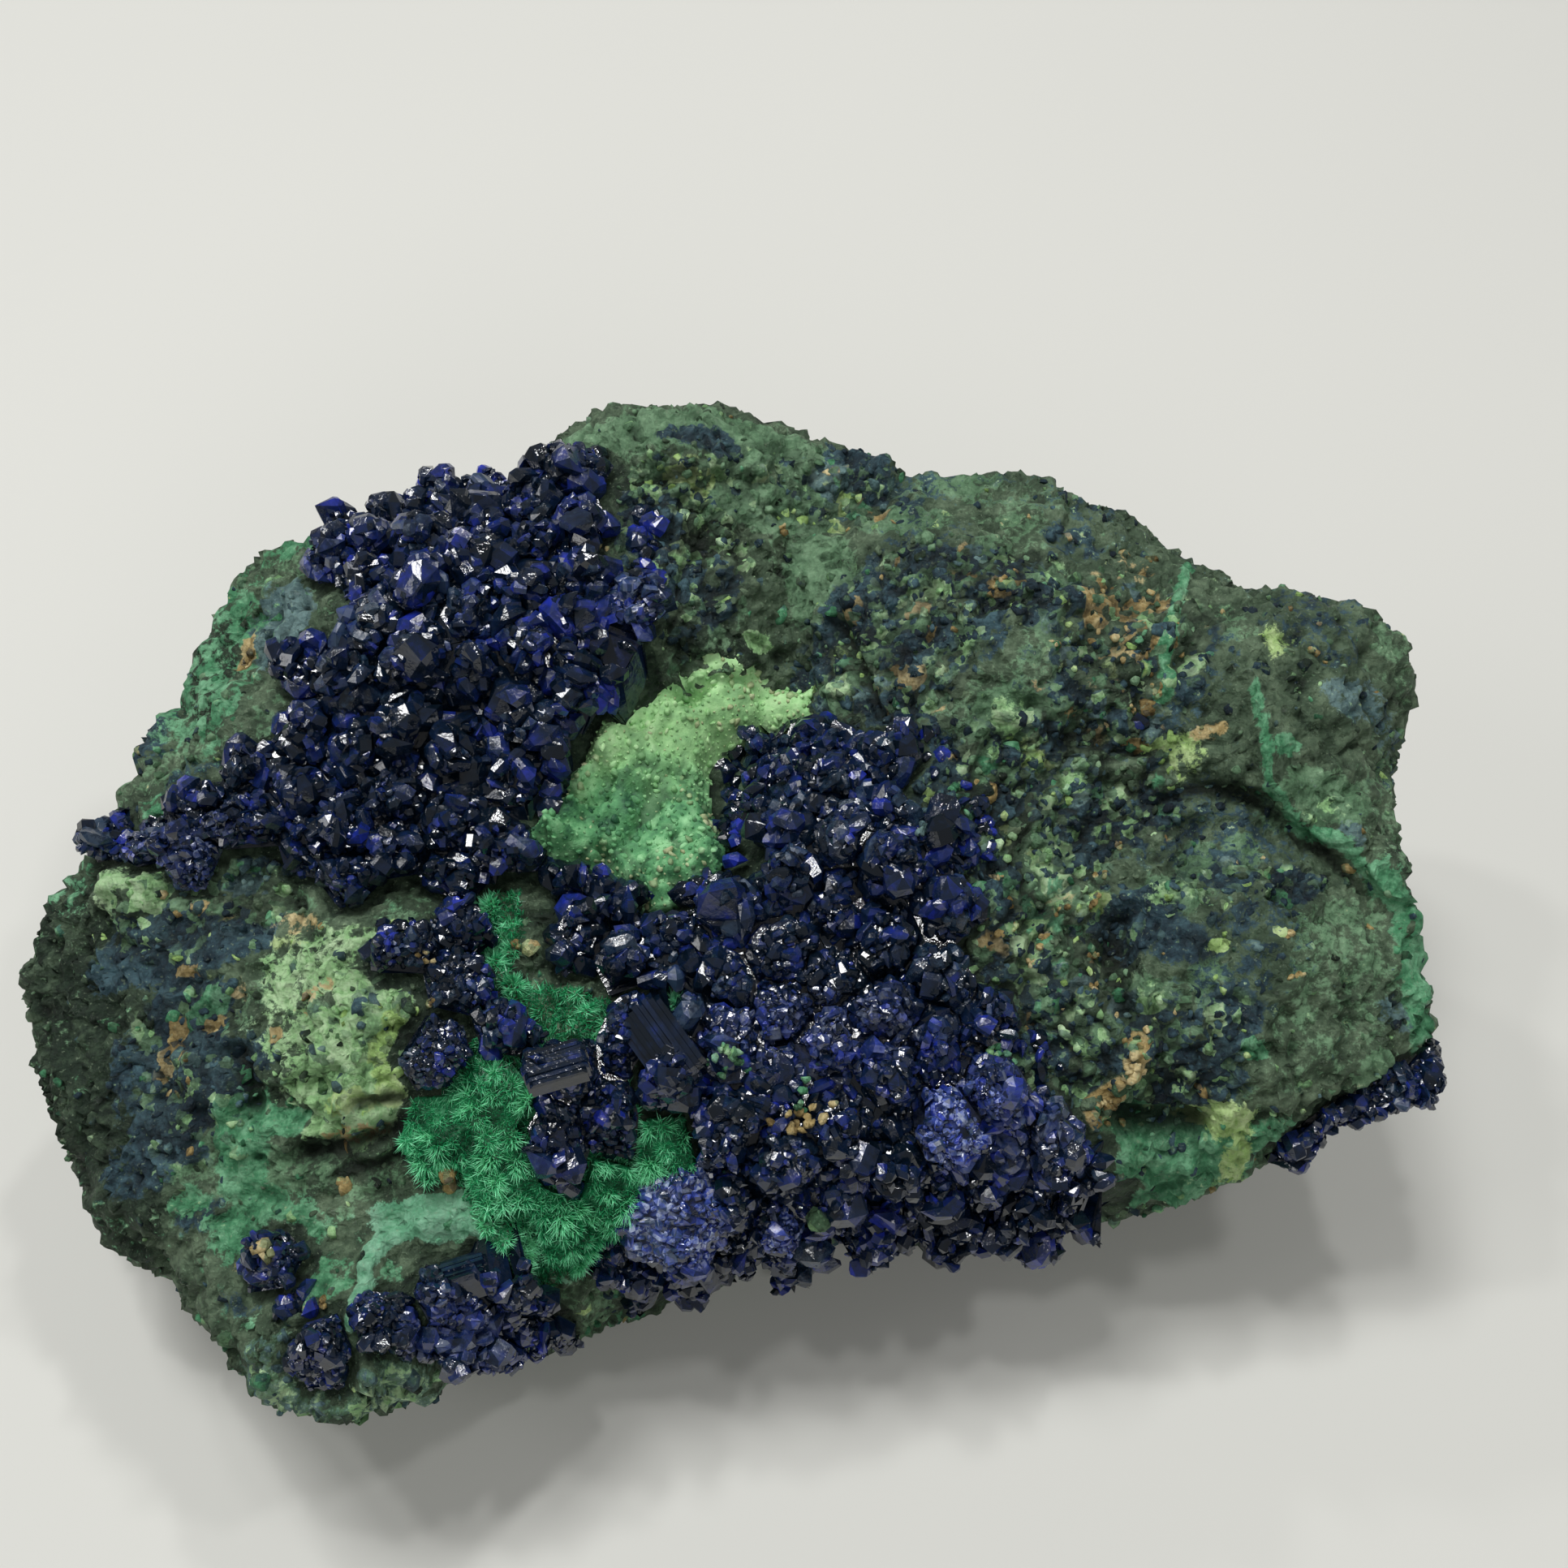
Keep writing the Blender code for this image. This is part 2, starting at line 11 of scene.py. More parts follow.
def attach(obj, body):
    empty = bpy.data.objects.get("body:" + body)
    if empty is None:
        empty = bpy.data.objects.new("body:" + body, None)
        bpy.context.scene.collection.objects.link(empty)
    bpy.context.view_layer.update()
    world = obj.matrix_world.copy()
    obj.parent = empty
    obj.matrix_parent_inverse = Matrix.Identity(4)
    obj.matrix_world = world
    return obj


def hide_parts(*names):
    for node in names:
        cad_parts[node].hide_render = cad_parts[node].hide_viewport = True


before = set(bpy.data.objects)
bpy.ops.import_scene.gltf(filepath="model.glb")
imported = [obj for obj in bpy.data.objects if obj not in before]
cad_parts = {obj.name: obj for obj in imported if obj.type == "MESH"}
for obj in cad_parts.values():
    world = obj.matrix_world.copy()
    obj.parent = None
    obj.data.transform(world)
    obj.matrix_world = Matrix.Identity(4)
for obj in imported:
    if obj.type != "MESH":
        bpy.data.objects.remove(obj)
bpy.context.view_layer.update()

# Lengths are in mm until a mesh is made. Plan places are (x, y) in mm, seen from above.
MM = 0.001
SEED = 11
rng = np.random.default_rng(SEED)

# ---- the rock's minerals ----

# A patch is x, y, half width and half depth in plan, an amount, and a turn in degrees if it has one.
# Each mineral's patches on top of the rock. The amount is the share of lumps there that are that mineral.
PATCHES = {
    # The narrow dark patches in cracks and along the ledge, at (27, -10), (29.5, -17.5), (19.5, 14.2) and
    # (45.5, -3),
    # and the one under the crust's overhang at the top of the hollow, at (-1.5, 13.5), are painted shadow;
    # the rest is dark rock.
    "dark": [
        (-43, -12, 6.5, 9, 0.8), (-41, -22, 5.5, 3.5, 0.65), (-47, -4, 3, 4, 0.6), (-1.5, 13.5, 3.5, 1, 0.9),
        (-21.5, -22, 4, 1.5, 0.4), (27, -10, 0.9, 3.5, 1), (29.5, -17.5, 2.5, 0.6, 0.9),
        (16, 5.5, 2.5, 2, 0.5), (26, 0, 1.5, 1, 0.8), (8, -1, 4, 3, 0.5), (45.5, -3, 0.8, 3, 0.8),
        (19.5, 14.2, 2, 0.5, 0.9), (-37, 12.5, 3.5, 6, 0.75), (14, 9, 4, 4, 0.35), (33, 7, 3, 2, 0.5),
    ],
    "moss": [
        (-2.5, 28.5, 10, 2.5, 0.9), (2, 25, 6, 2.5, 0.9), (6.5, 19.5, 2.5, 4, 0.8), (6, 26, 3.5, 1.5, 0.7),
        (13, 23, 3.5, 2, 0.7), (17, 27, 3.5, 1.5, 0.7), (20.5, 26, 4.5, 2, 0.4), (23, 2.5, 2, 3, 0.5),
        (-20, 30, 6, 1.5, 0.9), (-30, -22, 3.5, 2.5, 0.6), (17.5, 4, 1.5, 2.5, 0.5),
        (10.5, 12.5, 1.2, 3, 0.6), (-38, 8, 4, 6, 0.5), (-25, -33.5, 6, 3, 0.7), (22, -1.5, 2.5, 2, 0.9),
        (22.5, -4.5, 2, 1.8, 0.8), (30, -5, 2.4, 1.8, 1), (32.5, -2, 1.5, 1.8, 0.8),
        (35.5, -1.5, 1.5, 1.5, 0.8), (19.5, 7, 2.4, 1.8, 0.9), (19, 19.5, 1.5, 1.5, 0.6),
        (28, -12, 2.4, 1.8, 0.8), (29.5, -14, 1.8, 1.6, 0.8), (32, -11, 1.8, 2, 0.6),
        (40.5, 1.5, 3.5, 1.8, 0.9), (44.5, -15, 3, 1.2, 0.8), (12.5, 26, 2.5, 1.5, 0.5),
        # This patch on the back hump is partly its own lighter green and partly painted light on the lit
        # back.
        (2, 24.3, 5.5, 1.9, 1.1),
    ],
    "blue": [
        (17.5, -4, 2.5, 4.5, 0.85), (25, 2.5, 3, 1.5, 0.95), (24, -1, 3, 2, 0.6), (28, -6.5, 3.5, 2.5, 0.85),
        (19.5, -11.5, 3.5, 3, 0.85), (24.5, -12.5, 2.5, 2.5, 0.6), (24, -15.5, 2.5, 2, 0.8),
        (31.5, -16, 3, 2, 0.85), (38.5, -4, 2, 1.5, 0.9), (34, -12.5, 1.5, 1.2, 1),
        (30.5, -8.5, 2, 1.5, 0.8), (32, 9, 1.5, 1, 1), (22, 14, 2.2, 1.5, 1), (18, 13, 2, 3, 0.6),
        (19.5, 17, 2.5, 2.5, 0.55), (25, 21.5, 2.5, 2, 0.5), (22.5, 6, 1.2, 0.8, 1), (21, 3.5, 1.2, 1, 0.9),
        (19.5, 1.5, 1.2, 1, 1), (34.5, 11, 2, 2.5, 0.35), (13.5, 11.5, 3, 3, 0.7), (11, 9, 3, 2, 0.6),
        (14.5, 2.5, 2, 3.5, 0.8), (10, 16, 2.5, 2, 0.75), (-2.5, 27.6, 2.8, 1.2, 1), (9.5, 29, 2, 2, 1),
        (11, 26.5, 1.5, 1, 1), (-5.5, 21, 2.5, 3, 0.9), (-2, 17.5, 2.5, 2.5, 0.7), (-42, 9.5, 2.5, 2.5, 0.9),
        (-37, 3.5, 3.5, 2, 0.5), (-34, -2.5, 3, 1.2, 0.9), (-36.5, -7.6, 6, 2.4, 1), (-33.5, -16, 3, 2.5, 1),
        (-36.5, -18.5, 3, 2.5, 0.95), (-38.5, -20.5, 3, 1.8, 0.7), (-29.5, -15, 1.6, 1.5, 0.7),
        (-34, -24, 2, 1, 0.6), (-35.6, -12.6, 3, 3, 0.9), (-39, -15, 2.6, 3, 0.6),
        (-41, -7.8, 2.8, 1.8, 0.8), (-30.5, -29.5, 1.5, 1, 0.6), (31, -19.5, 1.5, 0.6, 1),
        (6, 12.5, 1.5, 1, 0.9),
    ],
    "teal": [
        (-21.8, -14.2, 2.4, 0.9, 0.6, 20), (-24.5, -17.4, 1.8, 0.7, 0.5, -20), (-26, -9.5, 2, 1.2, 0.5),
        (-32.3, 15, 2.2, 3.5, 1.3), (-33, -3.5, 1.5, 1, 1), (43, 8.5, 2, 1.5, 0.6), (46.5, 9, 2, 2, 0.5),
        (18.5, 18, 1.5, 1.5, 0.5), (26.5, -12, 1, 1, 0.8), (42.5, -0.5, 1, 0.6, 0.8),
        (45, -11.5, 1.5, 1, 0.6), (-28, 12, 3.5, 1, 0.4), (-25, -33.5, 6, 3, 0.55),
        (23.5, -10.5, 1.5, 1, 0.6), (7.5, 26.5, 1.5, 1.5, 0.6), (24, 3, 1.5, 0.8, 0.6),
        (-35.5, -15, 2, 1, 0.5),
    ],
    "malachite": [
        (28.5, -19.5, 4.5, 2.4, 1), (33, -20.5, 5, 2.4, 1), (37, -20, 3, 2, 0.9), (19, -5.5, 1.5, 2, 0.5),
        (21, -6.5, 1, 1.5, 0.6), (35, -14.5, 1, 0.6, 0.9), (46.8, -9.5, 1.2, 4.5, 1, 8),
        (38.5, 4.5, 1, 0.7, 1), (-36, 13, 3, 9, 0.5), (-39, 11, 2.5, 5, 0.5), (-38.5, 2.5, 3, 1.5, 0.6),
        (-31.5, -20, 2, 3, 1), (-29.5, -19, 2.5, 0.7, 0.9), (-34, -11.5, 1, 1, 1), (-15, -21.5, 2, 2, 0.9),
        (-17, -19, 1, 1.5, 0.8), (-35, -23, 1.5, 1, 0.5), (-29.5, -25, 4, 2.2, 0.75),
        (-19, -16, 1, 1.5, 0.5), (-22, -11, 1.5, 1.5, 0.6), (-46.5, -0.5, 3, 3.5, 0.4),
        (-14.5, -25.5, 3, 1.5, 0.7), (-24, -28.5, 5, 1.6, 0.6), (-28, 24, 6, 1.6, 0.8, 20),
    ],
    "pale": [
        (-24.5, -32.8, 5, 2.4, 0.45), (22, -1.5, 1.5, 1.2, 0.5), (22.5, -4, 1.2, 1.5, 0.5),
        (30, -5, 1.6, 1.2, 0.5), (19.5, 7, 1.5, 1.2, 0.5), (28.5, -11.5, 1.2, 1.2, 0.4),
        (41, 1, 2, 0.8, 0.4), (-40.5, -2.5, 2.5, 2.5, 0.8), (-29, -3, 1.5, 1, 1),
        (-24.5, -10.8, 6.5, 3.2, 0.62), (-22.8, -16.8, 5.4, 4.2, 0.92), (-28, -14, 3, 3, 0.5),
        (2, 14.5, 1, 0.6, 1),
    ],
    "mint": [
        (-18, -24.8, 4.4, 1.2, 1.1), (-13, -26, 2.4, 1, 0.8),
    ],
    "yellow": [
        (33, -17.8, 2.5, 0.7, 0.9), (35, -19.3, 1.2, 0.9, 0.8), (31.5, 5, 2, 1.5, 0.55),
        (38.5, 12, 1, 1.5, 0.6), (-20.2, -16.8, 2.2, 2.6, 1), (-23.5, -18.6, 2.5, 0.8, 0.55),
        (-19, -7.5, 1, 0.6, 0.8), (-29, -8, 1.5, 1, 0.45), (33, -8.5, 0.6, 0.5, 1),
        (-3, 24.5, 2.5, 0.8, 0.5), (6, 24, 2.2, 0.9, 0.5), (18.5, -0.5, 1, 1.5, 0.4),
        (15.5, 23, 1.5, 1.5, 0.3),
    ],
    "ochre": [
        (-26.2, -12.6, 1.6, 0.9, 0.45, 30), (-23.6, -20.4, 2.4, 0.6, 0.5), (28, 15, 3, 3.5, 0.45),
        (29, 11.5, 2, 2, 0.4), (29.5, 19.5, 1.5, 2, 0.35), (33.5, 6, 1.5, 0.7, 0.6),
        (-32, -11, 0.8, 1.2, 0.5), (-35.5, -9, 1.2, 0.7, 0.5), (-37, -14.5, 0.9, 2.4, 0.5, -10),
        (-34, -13.2, 2, 0.5, 0.5, 20), (-29, -14.5, 0.5, 0.6, 1), (-30.5, -27.5, 1, 0.7, 1),
        (-15, -29, 1.5, 0.6, 0.7), (-36, -3.5, 0.7, 0.7, 0.8), (-28.5, -7, 1.8, 0.8, 0.5),
        (21.5, 9, 1, 1, 0.3), (-34.5, 13.5, 0.6, 1.6, 0.8, -20),
    ],
}
# Where the rock is made of lumps and nodules. The rest is plainer and finer.
LUMPY_PATCHES = [
    (20, -5, 8, 13, 1, 10), (25, 3, 7, 6, 1), (12, 13, 7, 8, 0.9), (25, -15, 9, 4, 1), (5, 25.5, 9, 3, 0.7),
    (-3.5, 19, 5, 7, 1), (28, 13, 8, 5, 0.8), (20, 16, 7, 4.5, 0.9), (38.5, -4, 2.5, 1.8, 0.9),
    (33, -13, 2.5, 2.5, 0.8), (-36, -5, 7, 3.5, 0.7), (-25, -33.5, 6, 3, 0.4), (-35.5, -15.5, 5, 7, 0.6),
    (33, -4, 4, 3, 0.5), (-23, -15, 5.6, 5, 0.5),
]
# Where the fine relief is stronger or weaker than usual.
RELIEF_PATCHES = [
    (-23, -15.5, 6, 5.6, 1.3), (-24, -24, 8, 3.6, 0.8), (24, 13.5, 6, 5, 0.6), (38, -3, 6, 6, 0.7),
    (-33.5, -16.5, 4, 5.5, 0.7), (-44, -12, 5, 9, 1.3), (-25, -33.5, 6, 3, 1.3), (17, 21, 8, 5, 0.7),
]
# Forms that stand up with a steep edge. The amount is their height.
RISES = [
    (-25, -33.3, 5.6, 3.2, 1), (-40.5, -2.6, 2.8, 2.4, 1.1), (-42, 9.5, 2.6, 2.4, 1),
    (-29, -3, 1.8, 1.2, 0.7), (30, -5, 2.2, 1.5, 0.9), (-33.2, -15.6, 3, 2.6, 0.9),
    (-3, 26.5, 2.8, 1.5, 0.9), (9.8, 28, 2.6, 2.2, 1), (22.2, 14, 2.4, 1.4, 0.7), (32, 9, 1.6, 1.1, 0.8),
]
# How far out in a patch its edge begins to fade inwards, and where it is whole: 1 is the patch's own edge.
MINERAL_FADE = (1.5, 0.6)
LUMPY_FADE = (1.25, 0.65)
RELIEF_FADE = (1.2, 0.8)
RISE_FADE = (1.2, 0.75)
SIZE_FADE = (1.2, 0.6)
DULL_FADE = (1.3, 0.6)
# What the rest of the rock has of each mineral: on the left, on the right, and on its sides and back.
REST_SHARES = {
    "dark": (0.30, 0.18, 0.30), "moss": (0.24, 0.26, 0.28), "blue": (0.06, 0.24, 0.10),
    "teal": (0.02, 0.05, 0.03), "malachite": (0.12, 0.05, 0.16), "pale": (0.05, 0.08, 0.05),
    "mint": (0, 0, 0), "yellow": (0.02, 0.03, 0.02), "ochre": (0.02, 0.03, 0.03),
}
MIDDLE_X = 4.0

# Cracks and ridges along the top of the rock: points in plan, width, and height, negative for a crack.
# The cracks also get painted shade in the rock's finish.
LINES = [
    ([(-27.5, -20.8), (-25, -21.2), (-22.5, -20.8), (-20, -20), (-18.2, -19.4)], 0.42, -1.3),
    ([(-25, -22.3), (-22, -22), (-19.4, -21.2)], 0.35, -0.9), ([(-23.5, -19), (-20.5, -18.6)], 0.3, -0.7),
    ([(7.5, 15.5), (8.5, 13), (9.5, 10.5), (10.5, 7.5)], 0.35, -1.4),
    ([(36, 2.2), (38.6, 0.7), (41.2, -1.2), (43.6, -3.6)], 0.3, -0.6),
    ([(29, 2.2), (32.5, 2.7), (36, 2.2)], 0.35, -0.8), ([(26.5, -6), (26, -9.5), (27, -13)], 0.7, -1.5),
    ([(18, 14.2), (21.5, 14.4)], 0.4, -1.1), ([(27, -17.8), (32, -18.2)], 0.6, -1.4),
    ([(-31.8, -15), (-31, -17.8)], 0.7, -1.3),
    ([(37, 8), (37.2, 5), (37.4, 3), (39.5, 1.2), (42.5, -0.6), (45, -2.8), (46, -6)], 0.7, 1),
]
# Veins and stains of one mineral along the top: points in plan, width, height and mineral.
VEINS = [
    ([(33.5, 20.5), (31.8, 15), (30.6, 11.5), (30.5, 8.5)], 0.4, 0.4, "malachite"),
    ([(36.6, 8.5), (37, 5.5), (37.2, 3), (39.2, 0.8), (42.2, -0.9), (44.6, -2.8)], 0.35, 0.2, "malachite"),
    ([(44.6, -2.8), (45.8, -5.5), (46.3, -9), (47.6, -12.5)], 0.7, 0.5, "malachite"),
    ([(24.6, -17.6), (26.2, -16.8), (27.2, -15.8), (27.6, -14.4)], 0.75, 0.7, "ochre"),
    ([(-23, -31.2), (-22.5, -29), (-22.6, -27.3), (-21.8, -26.2), (-19.5, -25.3), (-16.5, -25.2),
      (-14, -26), (-13, -27.6)], 0.6, 0.9, "mint"),
    ([(-32.8, -18), (-32.4, -21), (-30, -19.2), (-27.6, -19.2)], 0.6, 0.2, "malachite"),
]
# Small clots of ochre among the grains.
OCHRE_DOTS = [
    (18.5, -4), (26, -3), (23, -5.5), (25, -5), (19.5, -7), (21.5, -7.5), (25, -8), (20.5, -9),
    (24.5, -10.5), (27, -0.5), (28.5, 8), (23, 11), (30, 9), (37.5, -8), (38, -10.5), (41, 11), (31, 21),
    (19, 16), (4, 22.5), (13, 5.5), (-19, -11), (-18.6, -14), (-14, -8.5),
]

# ---- the crystals ----

# Where azurite is coarser or finer than its usual size.
SIZE_PATCHES = [
    (-17, 11, 9, 12, 1.15), (-12, 21, 8, 5, 0.95), (-25, -1, 12, 5, 0.85), (8, -4, 7, 5, 0.85),
    (5, -13, 8, 4, 0.55), (14, -17, 8, 4, 0.7), (2, -22, 6, 4, 0.7), (10, -26.5, 9, 3, 1),
    (-6, -29, 7, 4, 0.9), (-38, -2, 8, 3.2, 0.6), (20, -21, 6, 4, 0.8), (-17, -11, 5.5, 5.5, 0.55),
    (-9, -17, 4.5, 6, 0.55), (-25, -30, 6.5, 6, 0.5), (-15, -29, 5, 4.5, 0.65), (43, -16, 7, 5, 0.6),
    (-18.2, -16.8, 3.5, 3, 0.45),
]
# Where it is dull and dusty.
DULL_PATCHES = [
    (-38, -3.5, 7, 2.6, 0.3), (-6.5, 16, 2, 6, 0.4), (-31, 17, 3, 4, 0.3), (6, -14.5, 8, 2.5, 0.25),
    (20, -18, 5, 3, 0.25), (-17, -31.5, 3, 2, 0.25),
]
# Rosettes of the smallest crystals: x, y, z and radius.
ROSETTES = [
    (-2.9, -24.4, 20.3, 3.6), (15.1, -20.3, 26.6, 3.3), (4.5, -24.9, 18.6, 1.8),
]
ROSETTE_FACTOR = 0.45
# The round one that stands out of the front: its middle, the way it faces, and its half sizes, the last one
# along that way.
ROUND_ROSETTE = ((-2.9, -23.8, 19.7), (0.1, -0.80, 0.60), (4.0, 2.7, 1.3))
# Big striated crystals: x, y, heading, tilt, roll, length, width, height, number of laths, and how deep
# they sit.
BIG_CRYSTALS = [
    (-3.9, -15.6, -52, -14, 16, 6.4, 3.4, 1.2, 9, 0), (-10.2, -18.4, 16, 4, -14, 4.2, 2.8, 0.6, 8, 0.2),
    (2.2, -18.6, -30, 25, 20, 2.8, 1.7, 0.9, 6, 0.5), (-16.4, -28.4, 20, -5, -28, 3.2, 2, 1.2, 6, 0.4),
]
# Azurite crystals that stand by themselves: x, y, half width, half depth, turn, number and half size.
SPRINKLES = [
    (0.9, 3.4, 1.5, 4.6, 0, 90, 0.55), (-3.6, 5.3, 0.9, 0.5, 0, 6, 0.7), (-8.2, 8, 2, 1, 40, 16, 0.75),
    (-11.6, 3.4, 0.8, 2, 0, 12, 0.75), (-8, -4, 3.5, 0.8, 0, 24, 0.7), (-1.6, -4.6, 1.6, 0.8, 0, 16, 0.7),
    (-20.8, -9.8, 1.2, 1, 0, 12, 0.55), (-17.6, -7.4, 1.6, 0.9, 0, 12, 0.5),
    (-15.2, -12.6, 0.8, 1.4, 0, 10, 0.5), (-27.6, -29.8, 1.4, 1, 0, 14, 0.55),
    (-12.2, -16.2, 1.6, 1.2, 0, 16, 0.45), (17.5, -0.5, 1.2, 3, 0, 22, 0.45),
    (13.5, 4.5, 2, 1.6, 0, 20, 0.45), (21, -14.5, 1.6, 1.4, 0, 14, 0.5), (-8.4, -20.4, 1.6, 1, 0, 12, 0.45),
    (28.5, 7, 0.3, 0.4, 0, 2, 0.5), (-6, 19.5, 1, 4, 0, 26, 0.6),
]
# The velvet's outline in plan, and that of the malachite in the hollow.
VELVET = [
    (-16.6, -5.1), (-13.8, -4.9), (-13.4, -7.6), (-14.1, -10.9), (-10.3, -11.2), (-5.5, -12.4),
    (-1.6, -10.3), (-2.4, -14.3), (-6, -14.8), (-6.3, -16.9), (-4.8, -19.8), (-4, -21.1), (-6.2, -22.1),
    (-6.8, -24.1), (-10.4, -26.6), (-13.4, -27.6), (-15.2, -26.2), (-17.3, -22.3), (-18.2, -19.8),
    (-17.8, -17.5), (-17, -15.7), (-15.3, -14.6), (-16.1, -10.7),
]
POCKET = [
    (-7, 9.2), (-4.5, 11.4), (-1, 13.2), (3, 13.2), (6.4, 12.2), (6.8, 9.6), (3.4, 8.2), (0.6, 7.6),
    (-1.4, 5.4), (-1.2, 3.2), (0.2, 0.4), (-0.4, -3.8), (-3.7, -5.6), (-6.3, -5), (-8.6, -3), (-11.6, -2.6),
    (-14, -0.4), (-11.8, 1.8), (-11.2, 4.4), (-9.2, 6.4),
]
# The rock at the front that the azurite stops short of, on the right and behind the corner.
GREEN_EDGE = [
    (24.6, -17.6), (30, -15), (33, -31), (26.5, -31), (25.2, -22),
]
MINT_EDGE = [
    (-20.5, -27.2), (-17.5, -26.8), (-14, -27.2), (-11.5, -28.4), (-10, -24), (-20.5, -24),
]
# Below this height the azurite stops between these two x.
LOW_EDGE_X = (-6.5, 0.0)
LOW_EDGE_Z = 8.6
# Single clumps of grains: x, y, half width, half depth, turn, mineral, number of grains and half size.
CLUMPS = [
    (5, -20, 1.9, 0.8, 0, "ochre", 18, 0.42), (6.1, -24.2, 0.5, 0.3, 0, "moss", 3, 1.1),
    (18.2, -15.5, 1, 0.6, 0, "malachite", 9, 0.4), (0.8, -16.6, 0.9, 0.5, 0, "mint", 7, 0.38),
    (15.8, 2, 0.4, 0.4, 0, "malachite", 3, 0.48), (27, -15.6, 0.8, 1.6, -35, "ochre", 16, 0.42),
    (25.4, -17.4, 1.4, 0.6, 15, "ochre", 12, 0.45), (-24.5, -22.8, 0.2, 0.2, 0, "ochre", 2, 0.85),
    (-17.6, -23, 0.2, 0.2, 0, "ochre", 2, 0.95), (-34.6, 13.4, 0.4, 1.4, -20, "ochre", 9, 0.42),
    (-20.9, -9, 0.9, 0.6, 0, "yellow", 8, 0.36), (13.2, -2.2, 0.5, 0.5, 0, "teal", 6, 0.4),
    (0.5, -16.5, 0.9, 0.6, 0, "malachite", 9, 0.42), (5, -18.6, 0.5, 0.8, 0, "malachite", 7, 0.4),
    (-12.5, -8.8, 0.3, 0.3, 0, "ochre", 1, 0.75), (-25, -30, 0.5, 0.3, 0, "ochre", 3, 0.5),
    (-28.6, -27.6, 0.5, 0.7, 0, "ochre", 5, 0.55),
]


def smoothstep(low, high, value):
    """0 below low, 1 above high, and smooth between."""
    t = np.clip((value - low) / (high - low), 0.0, 1.0)
    return t * t * (3.0 - 2.0 * t)


def cos_sin(degrees):
    """An angle's cosine and sine."""
    return math.cos(math.radians(degrees)), math.sin(math.radians(degrees))


def unit(ways):
    """Directions with the length of one."""
    return ways / np.maximum(np.linalg.norm(ways, axis=1), 1e-12)[:, None]


# ---- noise ----

HASH_MASK = 0xFFFFFFFF
CORNERS = np.array([(x, y, z) for x in (0, 1) for y in (0, 1) for z in (0, 1)])
STEPS = [(x, y, z) for x in (-1, 0, 1) for y in (-1, 0, 1) for z in (-1, 0, 1)]


def cell_random(cells, seed):
    """A repeatable random number from 0 to 1 for each whole-number cell."""
    x, y, z = (cells[..., i].astype(np.int64) for i in range(3))
    h = ((x * 73856093) ^ (y * 19349663) ^ (z * 83492791) ^ (seed * 40503)) & HASH_MASK
    h = ((h ^ (h >> 15)) * 739982445) & HASH_MASK
    h = ((h ^ (h >> 12)) * 695872825) & HASH_MASK
    return (h ^ (h >> 15)) / HASH_MASK


def noise(points, size, seed):
    """Smooth noise from 0 to 1, with features of this size."""
    scaled = points / size
    cell = np.floor(scaled)
    part = smoothstep(0.0, 1.0, scaled - cell)
    total = np.zeros(len(points))
    for corner in CORNERS:
        weight = np.prod(np.where(corner, part, 1.0 - part), axis=1)
        total += weight * cell_random(cell + corner, SEED + seed)
    return total


def layered(points, size, layers, seed, ridged=False):
    """Noise from 0 to 1 in layers, each half the size and strength of the last, with ridges if asked."""
    total, whole = np.zeros(len(points)), 0.0
    for layer in range(layers):
        value = noise(points, size / 2 ** layer, seed + layer)
        total += 0.5 ** layer * (1.0 - np.abs(2.0 * value - 1.0) if ridged else value)
        whole += 0.5 ** layer
    return total / whole


def wobble(points, size, layers, seed, reach):
    """Layered noise about zero, with this reach from its lowest to its highest."""
    return (layered(points, size, layers, seed) - 0.5) * reach


def lumps(points, size, seed):
    """Rounded cells of this size: distance to the nearest centre and how far inside its cell a point is, in
    sizes, the cell's own random number, and its centre."""
    scaled = points / size
    cell = np.floor(scaled)
    nearest, second = np.full((2, len(points)), 9.0)
    tag = np.zeros(len(points))
    centre = np.zeros((len(points), 3))
    for step in STEPS:
        other = cell + step
        spot = other + np.stack([cell_random(other, SEED + seed + i) for i in range(3)], axis=1)
        far = np.linalg.norm(scaled - spot, axis=1)
        closer = far < nearest
        second = np.where(closer, nearest, np.minimum(second, far))
        tag = np.where(closer, cell_random(other, SEED + seed + 3), tag)
        centre = np.where(closer[:, None], spot, centre)
        nearest = np.where(closer, far, nearest)
    return nearest, second - nearest, tag, centre * size


# ---- meshes ----

def numbers_of(items, key, width, kind):
    """One value of every item of a mesh, in rows of this width."""
    numbers = np.empty(len(items) * width, kind)
    items.foreach_get(key, numbers)
    return numbers.reshape(-1, width)


def corners_of(mesh):
    """A mesh's corners in mm."""
    return numbers_of(mesh.vertices, "co", 3, np.float32).astype(float) / MM


def node_mesh(name):
    """A CAD node's corners in mm and its triangles."""
    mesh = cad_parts[name].data
    mesh.calc_loop_triangles()
    return corners_of(mesh), numbers_of(mesh.loop_triangles, "vertices", 3, np.int32)


def remeshed(name, voxel):
    """A CAD node's surface in even four-sided facets of this size: corners in mm, and faces."""
    copy = bpy.data.objects.new("remesh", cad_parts[name].data.copy())
    bpy.context.scene.collection.objects.link(copy)
    remesh = copy.modifiers.new("remesh", "REMESH")
    remesh.mode = "VOXEL"
    remesh.voxel_size = voxel * MM
    evaluated = copy.evaluated_get(bpy.context.evaluated_depsgraph_get())
    mesh = bpy.data.meshes.new_from_object(evaluated)
    bpy.data.objects.remove(copy)
    return corners_of(mesh), numbers_of(mesh.loops, "vertex_index", 1, np.int32).reshape(-1, 4)


def triangles_of(faces):
    """Four-sided faces as triangles."""
    if faces.shape[1] == 3:
        return faces
    return np.concatenate([faces[:, [0, 1, 2]], faces[:, [0, 2, 3]]])


def face_normals(points, faces):
    """Each triangle's outward direction and area."""
    a, b, c = (points[faces[:, i]] for i in range(3))
    cross = np.cross(b - a, c - a)
    return unit(cross), np.linalg.norm(cross, axis=1) / 2.0


